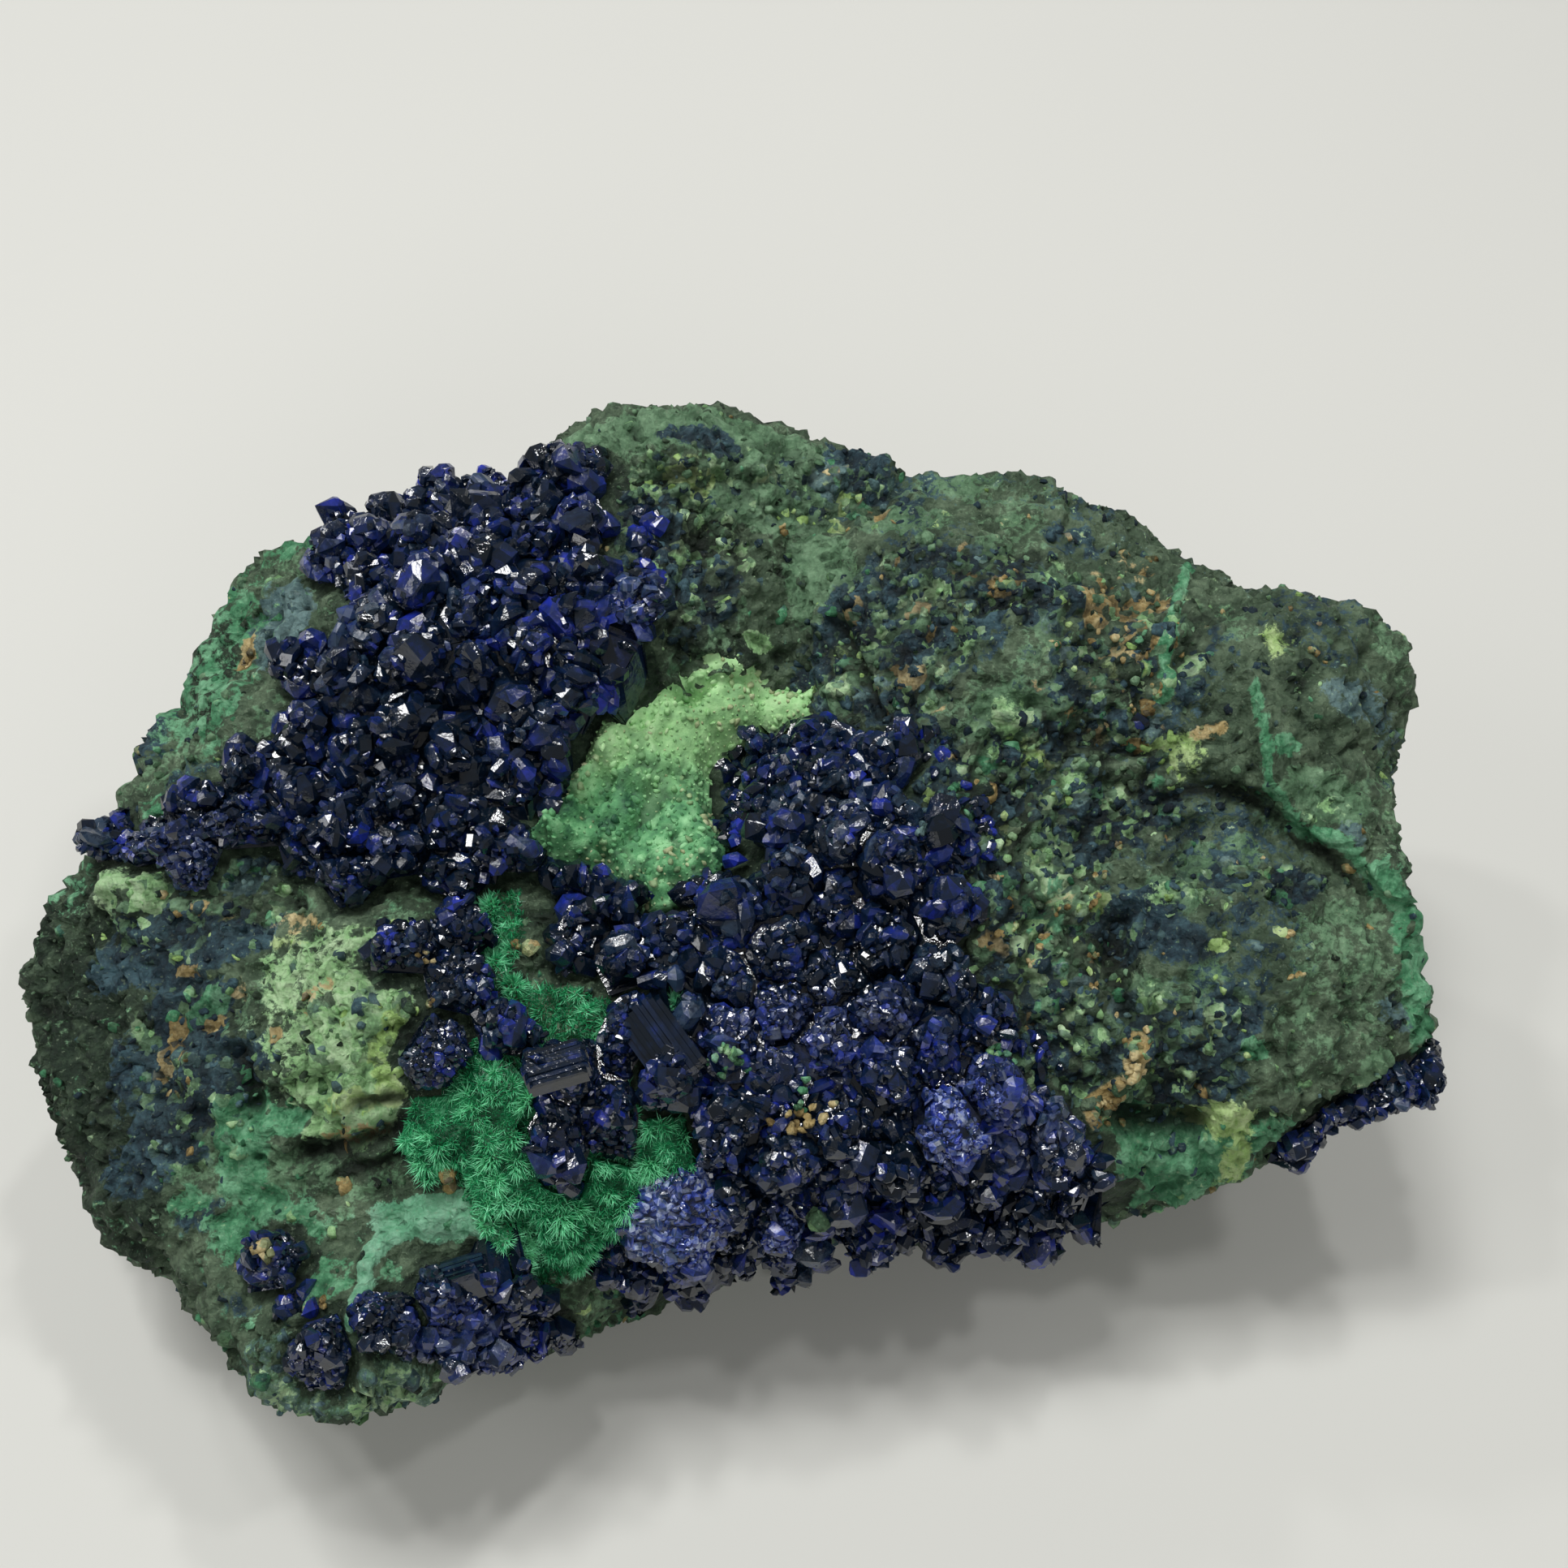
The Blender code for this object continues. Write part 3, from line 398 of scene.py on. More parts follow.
def corner_normals(points, faces):
    """Each corner's outward direction."""
    faces = triangles_of(faces)
    direction, area = face_normals(points, faces)
    total = np.zeros_like(points)
    for i in range(3):
        for axis in range(3):
            total[:, axis] += np.bincount(faces[:, i], direction[:, axis] * area, len(points))
    return unit(total)


def edges_of(faces):
    """Every side of every face, by its two corners."""
    count = faces.shape[1]
    return np.concatenate([faces[:, [i, (i + 1) % count]] for i in range(count)])


def relaxed(points, faces, rounds):
    """The corners, each moved halfway to the middle of its neighbours in every round."""
    ends = edges_of(faces)
    ends = np.concatenate([ends, ends[:, ::-1]])
    shared = np.bincount(ends[:, 0], minlength=len(points))
    for _ in range(rounds):
        total = [np.bincount(ends[:, 0], points[ends[:, 1], axis], len(points)) for axis in range(3)]
        points = 0.5 * points + 0.5 * np.stack(total, axis=1) / shared[:, None]
    return points


def joined(parts):
    """Several (corners, faces, values) as one."""
    points, faces, values, start = [], [], [], 0
    for corner, face, value in parts:
        points.append(corner)
        faces.append(face + start)
        values.append(value)
        start += len(corner)
    together = {name: np.concatenate([value[name] for value in values]) for name in values[0]}
    return np.concatenate(points), np.concatenate(faces), together


def tree_of(*surfaces):
    """One search tree over several (corners, faces)."""
    points, faces, _ = joined([(corners, triangles_of(faces), {}) for corners, faces in surfaces])
    return BVHTree.FromPolygons(points.tolist(), faces.tolist())


def add_piece(name, shape, material, smooth=False, replaced=()):
    """A mesh piece of the object, from its corners, its faces and its values by corner or by face."""
    points, faces, values = shape
    mesh = bpy.data.meshes.new(name)
    mesh.from_pydata((points * MM).tolist(), [], faces.tolist(), shade_flat=not smooth)
    for key, numbers in values.items():
        domain = "POINT" if len(numbers) == len(points) else "FACE"
        mesh.attributes.new(key, "FLOAT", domain).data.foreach_set("value", numbers.astype(np.float32))
    mesh.materials.append(material)
    mesh.update()
    piece = bpy.data.objects.new(name, mesh)
    bpy.context.scene.collection.objects.link(piece)
    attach(piece, "root")
    if replaced:
        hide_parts(*replaced)


# ---- materials ----

class Finish:
    """A material's nodes, under short names."""

    def __init__(self, name):
        self.material = bpy.data.materials.new(name)
        self.material.use_nodes = True
        self.tree = self.material.node_tree
        self.surface = self.tree.nodes["Principled BSDF"]
        self.place = self.tree.nodes.new("ShaderNodeTexCoord").outputs["Object"]

    def node(self, kind, fed=(), **settings):
        """A node with these settings, and with values or links for some of its inputs."""
        made = self.tree.nodes.new(kind)
        for key, value in settings.items():
            setattr(made, key, value)
        for key, value in dict(fed).items():
            self.feed(made.inputs[key], value)
        return made

    def feed(self, socket, value):
        """Links an output to a socket, or sets the socket."""
        if isinstance(value, bpy.types.NodeSocket):
            self.tree.links.new(value, socket)
        elif isinstance(value, tuple):
            socket.default_value = (*value, 1.0)
        else:
            socket.default_value = value

    def attribute(self, name):
        """One of the mesh's values."""
        return self.node("ShaderNodeAttribute", attribute_name=name).outputs["Fac"]

    def noise(self, size, detail=3.0, roughness=0.6):
        """Noise with features of this size in mm."""
        fed = {"Vector": self.place, "Scale": 1.0 / (size * MM), "Detail": detail, "Roughness": roughness}
        return self.node("ShaderNodeTexNoise", fed).outputs["Fac"]

    def cells(self, size, output="Distance", ragged=0.0):
        """Cells of this size in mm, with ragged edges if asked."""
        place = self.place
        if ragged:
            stir = self.node("ShaderNodeTexNoise", {"Vector": place, "Scale": 1.6 / (size * MM)})
            fed = {0: stir.outputs["Color"], "Scale": ragged * 2.0 * size * MM}
            push = self.node("ShaderNodeVectorMath", fed, operation="SCALE")
            fed = {0: place, 1: push.outputs[0]}
            place = self.node("ShaderNodeVectorMath", fed, operation="ADD").outputs[0]
        fed = {"Vector": place, "Scale": 1.0 / (size * MM)}
        return self.node("ShaderNodeTexVoronoi", fed).outputs[output]

    def channels(self, colour):
        """A colour's three channels."""
        return self.node("ShaderNodeSeparateColor", {0: colour}).outputs[0:3]

    def span(self, value, low, high, first=0.0, last=1.0):
        """The value moved smoothly from low..high to first..last."""
        fed = {"Value": value, "From Min": low, "From Max": high, "To Min": first, "To Max": last}
        return self.node("ShaderNodeMapRange", fed, interpolation_type="SMOOTHSTEP").outputs["Result"]

    def maths(self, operation, *numbers):
        """A sum done on numbers or links."""
        return self.node("ShaderNodeMath", enumerate(numbers), operation=operation).outputs[0]

    def mixed(self, *shares):
        """The sum of several values, each with its weight."""
        total = 0.0
        for value, weight in shares:
            total = self.maths("MULTIPLY_ADD", value, weight, total)
        return total

    def blend(self, share, first, second, most=1.0):
        """Two colours mixed, with at most so much of the second."""
        fed = {0: self.maths("MULTIPLY", share, most), 6: first, 7: second}
        return self.node("ShaderNodeMix", fed, data_type="RGBA").outputs[2]

    def shades(self, value, stops, colours):
        """A run of colours, each at its stop."""
        made = self.node("ShaderNodeValToRGB", {"Fac": value})
        elements = made.color_ramp.elements
        while len(elements) < len(stops):
            elements.new(0.5)
        for element, stop, colour in zip(elements, stops, colours):
            element.position = stop
            element.color = (*colour, 1.0)
        return made.outputs["Color"]

    def bump(self, height, depth, strength=1.0, **under):
        """A bump of this depth in mm, over another one if its Normal is given."""
        fed = {"Strength": strength, "Distance": depth * MM, "Height": height, **under}
        return self.node("ShaderNodeBump", fed).outputs["Normal"]

    def finish(self, colour, roughness, **others):
        """The material, with these values or links for its surface."""
        for key, value in {"Base Color": colour, "Roughness": roughness, **others}.items():
            self.feed(self.surface.inputs[key.replace("_", " ")], value)
        return self.material


# Each mineral of the rock, from its darkest shade to its lightest.
MINERAL_STOPS = (0.30, 0.50, 0.70)
MINERAL_SHADES = {
    "plain": [(0.018, 0.034, 0.018), (0.066, 0.112, 0.064), (0.180, 0.260, 0.160)],
    "dark": [(0.004, 0.010, 0.005), (0.016, 0.034, 0.019), (0.075, 0.120, 0.070)],
    "moss": [(0.030, 0.070, 0.032), (0.118, 0.240, 0.126), (0.260, 0.440, 0.260)],
    "blue": [(0.003, 0.010, 0.018), (0.018, 0.044, 0.062), (0.075, 0.155, 0.185)],
    "teal": [(0.022, 0.050, 0.055), (0.080, 0.155, 0.160), (0.220, 0.350, 0.340)],
    "pale": [(0.080, 0.185, 0.070), (0.330, 0.610, 0.265), (0.620, 0.850, 0.510)],
    "yellow": [(0.140, 0.240, 0.060), (0.400, 0.640, 0.200), (0.660, 0.840, 0.420)],
    "malachite": [(0.012, 0.066, 0.030), (0.070, 0.275, 0.128), (0.260, 0.580, 0.340)],
    "mint": [(0.060, 0.240, 0.120), (0.160, 0.450, 0.260), (0.340, 0.640, 0.440)],
    "ochre": [(0.120, 0.080, 0.026), (0.420, 0.310, 0.120), (0.780, 0.660, 0.360)],
}
# Small spots all over the lumpy rock: their size in mm, and how rare each mineral is among them.
SPOT_SIZE = 0.7
SPOTS = {"blue": 0.88, "pale": 0.92, "moss": 0.86}
CRUMB_COLOUR = (0.300, 0.400, 0.260)
# Painted shade in the rock's crevices, cracks and the gaps between its lumps: its colour, and how much at
# most.
CREVICE_SHADE_COLOUR = (0.003, 0.007, 0.004)
CREVICE_SHADE_DEPTH = 0.92


def rock_finish():
    """Weathered rock with a shade for each mineral, fine crumbs, and painted shade darkening its crevices."""
    rock = Finish("rock_finish")
    lumpy = rock.maths("SUBTRACT", 1.0, rock.attribute("calm"))
    fine = rock.noise(0.55, 4.0, 0.65)
    mottle = rock.mixed((fine, 0.6), (rock.noise(3.5), 0.4), (-0.5, 1.0))
    contrast = rock.span(lumpy, 0.0, 1.0, 0.85, 1.1)
    tone = rock.mixed((mottle, contrast), (rock.attribute("grain"), 0.28), (0.346, 1.0))
    ragged = rock.maths("SUBTRACT", rock.noise(1.1, 5.0, 0.7), 0.5)
    edge = rock.maths("MULTIPLY", ragged, rock.span(lumpy, 0.0, 1.0, 2.2, 0.9))
    shades = {name: rock.shades(tone, MINERAL_STOPS, colours) for name, colours in MINERAL_SHADES.items()}
    colour = shades["plain"]
    for mineral in PATCHES:
        over = rock.maths("ADD", rock.attribute(mineral), edge)
        colour = rock.blend(rock.span(over, 0.40, 0.62), colour, shades[mineral])
    spots = rock.channels(rock.cells(SPOT_SIZE, "Color", 0.3))
    for spot, (mineral, rarity) in zip(spots, SPOTS.items()):
        colour = rock.blend(rock.span(spot, rarity, rarity + 0.05), colour, shades[mineral], most=lumpy)
    colour = rock.blend(rock.span(rock.noise(0.32, 2.0), 0.62, 0.72), colour, CRUMB_COLOUR, most=0.45)
    # Painted shade: the crevices, cracks and gaps between lumps are darkened.
    colour = rock.blend(rock.attribute("hollow"), colour, CREVICE_SHADE_COLOUR, most=CREVICE_SHADE_DEPTH)
    glint = rock.span(rock.cells(0.5, "Color"), 0.80, 0.86)
    roughness = rock.mixed((rock.span(fine, 0.3, 0.7, 0.58, 0.85), 1.0), (glint, -0.38))
    crumbs = rock.bump(rock.noise(0.35, 5.0, 0.75), 0.30)
    normal = rock.bump(rock.cells(0.75, ragged=0.2), 0.40, 0.8, Normal=crumbs)
    return rock.finish(colour, roughness, Normal=normal, Specular_IOR_Level=0.35)


# The azurite's own deep blue; the ultramarine top shades are partly a painted glow of light through the
# crystals.
AZURITE_STOPS = (0.42, 0.58, 0.70, 0.82)
AZURITE_SHADES = [(0.0022, 0.0062, 0.0125), (0.0052, 0.0145, 0.0420), (0.0090, 0.0210, 0.1300),
                  (0.0160, 0.0320, 0.3600)]
DUST_COLOUR = (0.030, 0.068, 0.120)
# The fine crystal's ultramarine, with a silvery top shade that is painted sheen.
FROST_STOPS = (0.36, 0.46, 0.55, 0.64)
FROST_AND_SHEEN_SHADES = [(0.004, 0.009, 0.050), (0.020, 0.042, 0.280), (0.100, 0.160, 0.580), (0.500, 0.580, 0.780)]


def azurite_finish():
    """Deep blue crystals: most nearly black, some ultramarine partly as painted glow, some under dull fine
    crystal.
    """
    azurite = Finish("azurite_finish")
    tint, facet = azurite.attribute("tint"), azurite.attribute("facet")
    dusty, frost_share = azurite.attribute("dusty"), azurite.attribute("frost")
    # The tint and noise are the crystals' own tone; the facet term paints a step of light on each facet.
    tone = azurite.mixed((tint, 0.45), (facet, 0.15), (azurite.noise(1.1), 0.50), (frost_share, 0.10))
    colour = azurite.shades(tone, AZURITE_STOPS, AZURITE_SHADES)
    dust = azurite.mixed((dusty, 0.6), (azurite.noise(0.5, 4.0), 0.4), (frost_share, 0.20))
    dust = azurite.span(dust, 0.58, 0.75)
    colour = azurite.blend(dust, colour, DUST_COLOUR, most=0.55)
    frosted = azurite.maths("MULTIPLY", azurite.span(azurite.noise(0.7, 4.0), 0.35, 0.60), frost_share)
    # Painted sheen: the fine crystal's facets go from dark blue to silvery, each by its own number.
    frost_tone = azurite.mixed((azurite.noise(1.8, 5.0, 0.7), 0.7), (facet, 0.3))
    colour = azurite.blend(frosted, colour, azurite.shades(frost_tone, FROST_STOPS, FROST_AND_SHEEN_SHADES), most=0.75)
    roughness = azurite.mixed((azurite.span(tint, 0.0, 1.0, 0.06, 0.20), 1.0), (dust, 0.25))
    return azurite.finish(colour, roughness, Normal=azurite.bump(azurite.noise(0.40), 0.035, 0.9), IOR=1.75)


# Painted shade and light: the needles are darkest at their feet and lightest at their tips.
VELVET_STOPS = (0.15, 0.32, 0.56)
VELVET_SHADES = [(0.002, 0.058, 0.020), (0.028, 0.385, 0.145), (0.310, 0.950, 0.540)]


def velvet_finish():
    """Silky green needles, with painted shade toward their feet and painted light at their tips."""
    velvet = Finish("velvet_finish")
    tone = velvet.mixed((velvet.attribute("tip"), 0.65), (velvet.noise(1.6), 0.35))
    roughness = velvet.span(velvet.noise(0.4, 2.0), 0.3, 0.7, 0.28, 0.55)
    normal = velvet.bump(velvet.noise(0.2, 2.0), 0.02, 0.4)
    return velvet.finish(velvet.shades(tone, VELVET_STOPS, VELVET_SHADES), roughness, Normal=normal)


# The malachite in the hollow: low down and at its front, higher up at its back, and its cream grains.
# The back's shades are lighter: partly its own yellower green, partly painted light where the back is lit.
POCKET_STOPS = (0.38, 0.50, 0.62)
POCKET_LOW_SHADES = [(0.016, 0.090, 0.040), (0.100, 0.325, 0.130), (0.300, 0.620, 0.310)]
POCKET_HIGH_SHADES = [(0.200, 0.420, 0.170), (0.345, 0.640, 0.275), (0.520, 0.800, 0.410)]
CREAM_STOPS = (0.35, 0.65)
CREAM_SHADES = [(0.280, 0.330, 0.150), (0.520, 0.540, 0.330)]
# Painted shade between the knobs.
POCKET_CREVICE_SHADE_COLOUR = (0.020, 0.060, 0.026)


def pocket_finish():
    """Pale green botryoidal malachite with cream tips; painted shade between knobs, partly painted light at
    the back.
    """
    pocket = Finish("pocket_finish")
    tone = pocket.mixed((pocket.noise(1.0, 4.0), 0.45), (pocket.noise(4.0, 2.0), 0.35),
                        (pocket.attribute("grain"), 0.20))
    low = pocket.shades(tone, POCKET_STOPS, POCKET_LOW_SHADES)
    high = pocket.shades(tone, POCKET_STOPS, POCKET_HIGH_SHADES)
    colour = pocket.blend(pocket.attribute("bright"), low, high)
    colour = pocket.blend(pocket.attribute("cream"), colour, pocket.shades(tone, CREAM_STOPS, CREAM_SHADES))
    colour = pocket.blend(pocket.attribute("hollow"), colour, POCKET_CREVICE_SHADE_COLOUR, most=0.7)
    normal = pocket.bump(pocket.noise(0.25, 4.0), 0.10, 0.8)
    return pocket.finish(colour, pocket.span(tone, 0.3, 0.7, 0.6, 0.85), Normal=normal)


# ---- where things are ----

# Where rays that look for the surface start, and their direction.
ABOVE_ALL = 90.0
DOWN = (0.0, 0.0, -1.0)


def patch_distance(points, patch):
    """How far out in a plan patch each point is: 0 at its middle and 1 at its edge."""
    x, y, half_width, half_depth, _, *turn = patch
    cos, sin = cos_sin(sum(turn))
    dx, dy = points[:, 0] - x, points[:, 1] - y
    return np.hypot((dx * cos + dy * sin) / half_width, (dy * cos - dx * sin) / half_depth)


def strongest(points, patches, fade, stir=0.0):
    """The greatest amount that a patch brings to each point. Edges are faded, and stirred up if asked."""
    share = np.zeros(len(points))
    for patch in patches:
        share = np.maximum(share, smoothstep(*fade, patch_distance(points, patch) + stir) * patch[4])
    return share


def moved_to_amounts(points, patches, fade, most=1.0):
    """1 outside the patches and each one's amount inside it, with its edge faded."""
    factor = np.ones(len(points))
    for patch in patches:
        inside = smoothstep(*fade, patch_distance(points, patch)) * most
        factor = factor * (1.0 - inside) + patch[4] * inside
    return factor


def line_distance(points, line):
    """Plan distance to a line of points."""
    nearest = np.full(len(points), 1e9)
    spot = points[:, :2]
    for start, end in zip(line, line[1:]):
        run = np.subtract(end, start)
        share = np.clip((spot - start) @ run / (run @ run), 0.0, 1.0)
        nearest = np.minimum(nearest, np.linalg.norm(spot - start - share[:, None] * run, axis=1))
    return nearest


def in_outline(points, outline):
    """Which points lie inside a plan outline."""
    inside = np.zeros(len(points), bool)
    x, y = points[:, 0], points[:, 1]
    for (ax, ay), (bx, by) in zip(outline, outline[1:] + outline[:1]):
        crosses = (ay > y) != (by > y)
        inside ^= crosses & (x < (bx - ax) * (y - ay) / (by - ay + 1e-12) + ax)
    return inside


def on_top(points, normals):
    """1 where the rock faces up and isn't near its base, so that a plan patch holds there."""
    return smoothstep(-0.25, 0.1, normals[:, 2]) * smoothstep(8.0, 13.0, points[:, 2])


def mineral_shares(points, normals):
    """Each mineral's share at each point of the rock."""
    top = on_top(points, normals)
    right = smoothstep(MIDDLE_X - 4.0, MIDDLE_X + 4.0, points[:, 0])
    stir = wobble(points, 3.0, 3, 50, 0.55)
    shares = {}
    for index, (mineral, patches) in enumerate(PATCHES.items()):
        left_rest, right_rest, side_rest = REST_SHARES[mineral]
        blotch = smoothstep(0.30, 0.70, layered(points, 7.0, 3, 60 + index)) * 2.0
        rest = (left_rest * (1 - right) + right_rest * right) * top + side_rest * (1 - top)
        patchy = strongest(points, patches, MINERAL_FADE, stir) * top * 1.1
        shares[mineral] = np.maximum(rest * blotch, patchy)
    return shares


def dropped(tree, patch, count):
    """Places on top of everything within a plan patch, and the surface's direction there."""
    x, y, half_width, half_depth, turn = patch
    cos, sin = cos_sin(turn)
    places, ways = [], []
    for dx, dy in rng.normal(0.0, 0.5, (count, 2)) * (half_width, half_depth):
        spot = (x + dx * cos - dy * sin, y + dx * sin + dy * cos, ABOVE_ALL)
        place, way, _, _ = tree.ray_cast(spot, DOWN)
        if place:
            places.append(place[:])
            ways.append(way[:])
    return np.array(places), np.array(ways)


# ---- the rock ----

ROCK_VOXEL = 0.48
RELAX_ROUNDS = 6
# How near to a crust the rock is covered by it, from not at all to wholly, in mm.
# The rock it covers is also painted dark, as painted shade.
COVER_FADE = (1.2, 0.4)
# The sizes in mm of the crags, of the grains on them, and of the finest relief.
CRAG_SIZE = 4.2
GRAIN_SIZE = 1.8
FINE_SIZE = 1.1
# Broken layers: how far they run in mm, how many there are over the noise's range, and each one's depth.
LAYER_SIZE = 6.0
LAYER_COUNT = 11.0
LAYER_DEPTH = 0.6
# The lumps' sizes and depths, and which size each mineral goes by, with a seed of its own.
LUMP_SIZES = [(2.9, 1.25), (1.45, 1.10)]
PICKED_BY = {"dark": (0, 1), "moss": (0, 7), "blue": (1, 2), "teal": (1, 8), "pale": (1, 3), "mint": (0, 9),
             "malachite": (1, 4), "yellow": (1, 5), "ochre": (1, 6)}
CRUST_NODES = sorted(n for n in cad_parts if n.startswith(("azurite", "malachite")))


def lumpiness(points, top):
    """How lumpy the rock is at each point: 0 for plain and 1 for nodules."""
    lumpy = strongest(points, LUMPY_PATCHES, LUMPY_FADE, wobble(points, 4.0, 2, 55, 0.6)) * top
    return np.maximum(0.12 + 0.25 * (1.0 - top), lumpy)


def fine_relief(points, factor):
    """Crags, grains and broken layers: height in mm, and how much painted crevice shade each point gets."""
    crags = (layered(points, CRAG_SIZE, 3, 3, ridged=True) - 0.6) * 1.1
    grains = (layered(points, GRAIN_SIZE, 2, 4, ridged=True) - 0.6) * 0.9
    grains += wobble(points, FINE_SIZE, 2, 7, 0.9)
    strata = layered(points, LAYER_SIZE, 3, 8) * LAYER_COUNT
    step = strata - np.floor(strata)
    layers = (smoothstep(0.0, 0.9, step) - 0.5) * LAYER_DEPTH
    crevice = np.maximum(smoothstep(-0.05, -0.50, grains), 0.8 * smoothstep(0.10, 0.0, step))
    return (crags + grains + layers) * factor, crevice * np.minimum(factor, 1.0) ** 2


def picked(share, lumpy, lump_tag, seed):
    """A mineral's share where the rock is plain, and all or nothing by whole lumps where it is lumpy."""
    by_lump = cell_random(np.repeat(np.floor(lump_tag * 9999)[:, None], 3, axis=1), seed)
    whole = smoothstep(-0.10, 0.10, share - by_lump)
    return share + (whole - share) * smoothstep(0.35, 0.65, lumpy)


def raised_lumps(points, rough):
    """Rounded lumps in two sizes: height in mm, how much painted crevice shade each point gets, and the
    lumps' tags.
    """
    height, crevice, tags = np.zeros(len(points)), np.zeros(len(points)), []
    for index, (size, depth) in enumerate(LUMP_SIZES):
        warped = points + wobble(points, size, 2, 5, size * 0.5)[:, None]
        _, inside, tag, _ = lumps(warped, size, 10 * (index + 1))
        rounded = np.sqrt(np.clip(inside / 0.65, 0.0, 1.0))
        height += (rounded * (0.3 + 0.7 * tag) - 0.45) * depth * rough
        crevice = np.maximum(crevice, smoothstep(0.26, 0.0, inside) * rough)
        tags.append(tag)
    return height, crevice, tags


def add_rises(points, top, height):
    """Forms with a steep edge, added to the height."""
    stir = wobble(points, 2.5, 3, 9, 0.7)
    for rise in RISES:
        height += smoothstep(*RISE_FADE, patch_distance(points, rise) + stir) * top * rise[4]


def add_lines(points, top, height):
    """Cracks and ridges, added to the height, and how much painted crack shade each point gets."""
    crack = np.zeros(len(points))
    for line, width, rise in LINES:
        far = line_distance(points, line) + wobble(points, 1.6, 2, 11, width)
        near = smoothstep(width * 2.0, width * 0.3, far) * top
        height += near * rise
        if rise < 0:
            crack = np.maximum(crack, near)
    return crack


def add_veins(points, top, values, height):
    """Veins of one mineral, added to the height, in place of whatever else is there."""
    for line, width, rise, mineral in VEINS:
        far = line_distance(points, line) + wobble(points, 1.6, 2, 12, width * 0.9)
        near = smoothstep(width * 1.5, width * 0.7, far) * top
        height += smoothstep(width * 1.8, width * 0.3, far) * top * rise
        for other, share in values.items():
            values[other] = np.maximum(share, near) if other == mineral else share * (1.0 - near)
        # The painted crevice shade fades twice as fast as the other minerals.
        values["hollow"] = values["hollow"] * (1.0 - near)


def add_rock(crusts, material):
    """The rock's skin, over the CAD solid's form: its corners, its faces, and how much crusts cover them."""
    points, faces = remeshed("rock_matrix", ROCK_VOXEL)
    points = relaxed(points, faces, RELAX_ROUNDS)
    normals = corner_normals(points, faces)
    from_crust = np.array([crusts.find_nearest(point)[3] for point in points.tolist()])
    covered = smoothstep(*COVER_FADE, from_crust)
    top = on_top(points, normals)
    rough = lumpiness(points, top)
    factor = moved_to_amounts(points, RELIEF_PATCHES, RELIEF_FADE, top) * (1.0 - 0.35 * rough)
    height, crevice = fine_relief(points, factor)
    lump_height, hollow, tags = raised_lumps(points, rough)
    height += wobble(points, 7.0, 3, 0, 2.0) + lump_height
    values = mineral_shares(points, normals)
    # Painted shade in crevices and between lumps, with less of it on the pale rock.
    hollow = np.maximum(hollow, crevice * 0.75) * (1.0 - 0.65 * np.clip(values["pale"], 0.0, 1.0))
    add_rises(points, top, height)
    hollow = np.maximum(hollow, add_lines(points, top, height))
    for mineral, (scale, seed) in PICKED_BY.items():
        values[mineral] = picked(values[mineral], rough, tags[scale], seed) * (1.0 - covered)
    # Painted shade: the rock next to and under the crusts takes the darkest mineral's colour.
    values["dark"] = np.maximum(values["dark"], covered)
    height = height * (1.0 - 0.85 * covered) - 0.25 * covered
    values["hollow"] = np.clip(hollow, 0.0, 1.0)
    add_veins(points, top, values, height)
    values["calm"] = smoothstep(0.75, 0.25, rough)
    # Half each lump's own random tone, half painted shade that lowers the tone in crevices.
    values["grain"] = 0.5 * tags[1] + 0.5 * (1.0 - crevice)
    moved = points + normals * height[:, None]
    moved[:, 2] = np.maximum(moved[:, 2], 0.0)
    add_piece("rock_skin", (moved, faces, values), material, smooth=True, replaced=("rock_matrix",))
    return moved, faces, covered


# ---- crystals and grains ----

SIGNS = [(x, y) for x in (-1, 1) for y in (-1, 1)]
PEBBLE_CORNERS = 19
ONE_FACET = 0.995


def hull(corners):
    """The closed convex shape round these corners: points, outward triangles, and their facets' numbers."""
    shape = bmesh.new()
    for corner in corners:
        shape.verts.new(corner)
    bmesh.ops.convex_hull(shape, input=shape.verts)
    spare = [v for v in shape.verts if not v.link_faces]
    bmesh.ops.delete(shape, geom=spare, context="VERTS")
    bmesh.ops.triangulate(shape, faces=shape.faces)
    bmesh.ops.recalc_face_normals(shape, faces=shape.faces)
    shape.verts.index_update()
    points = np.array([v.co[:] for v in shape.verts])
    faces = np.array([[v.index for v in f.verts] for f in shape.faces])
    shape.free()
    facets, numbers = [], []
    for way in face_normals(points, faces)[0]:
        alike = [i for i, known in enumerate(facets) if known @ way > ONE_FACET]
        numbers.append(alike[0] if alike else len(facets))
        if not alike:
            facets.append(way)
    return points, faces, np.array(numbers)


def prism_start(deep, side, end, shoulder):
    """The lower part of a stubby eight-sided prism, two units across, from the ranges of its measures: its
    corners, its outline, and its depth, slope and shoulder."""
    deep, side, end = (rng.uniform(*reach) for reach in (deep, side, end))
    ring = [(x, y * deep * side) for x, y in SIGNS] + [(x * end, y * deep) for x, y in SIGNS]
    slope, shoulder = rng.uniform(-0.35, 0.35), rng.uniform(*shoulder)
    corners = [(x, y, -0.9) for x, y in ring[::2]] + [(x, y, shoulder + slope * x) for x, y in ring]
    return corners, ring, deep, slope, shoulder


def plain_prism():
    """A prism with a chisel or a flat top."""
    corners, _, deep, slope, _ = prism_start((0.55, 0.95), (0.3, 0.6), (0.3, 0.65), (0.15, 0.55))
    ridge, flat = rng.uniform(0.25, 0.7), rng.choice([0.03, 0.12, 0.4]) * deep
    shift = rng.uniform(-0.25, 0.25)
    return hull(corners + [(x * ridge + shift, y * flat, 1.0 + 0.4 * slope * x) for x, y in SIGNS])


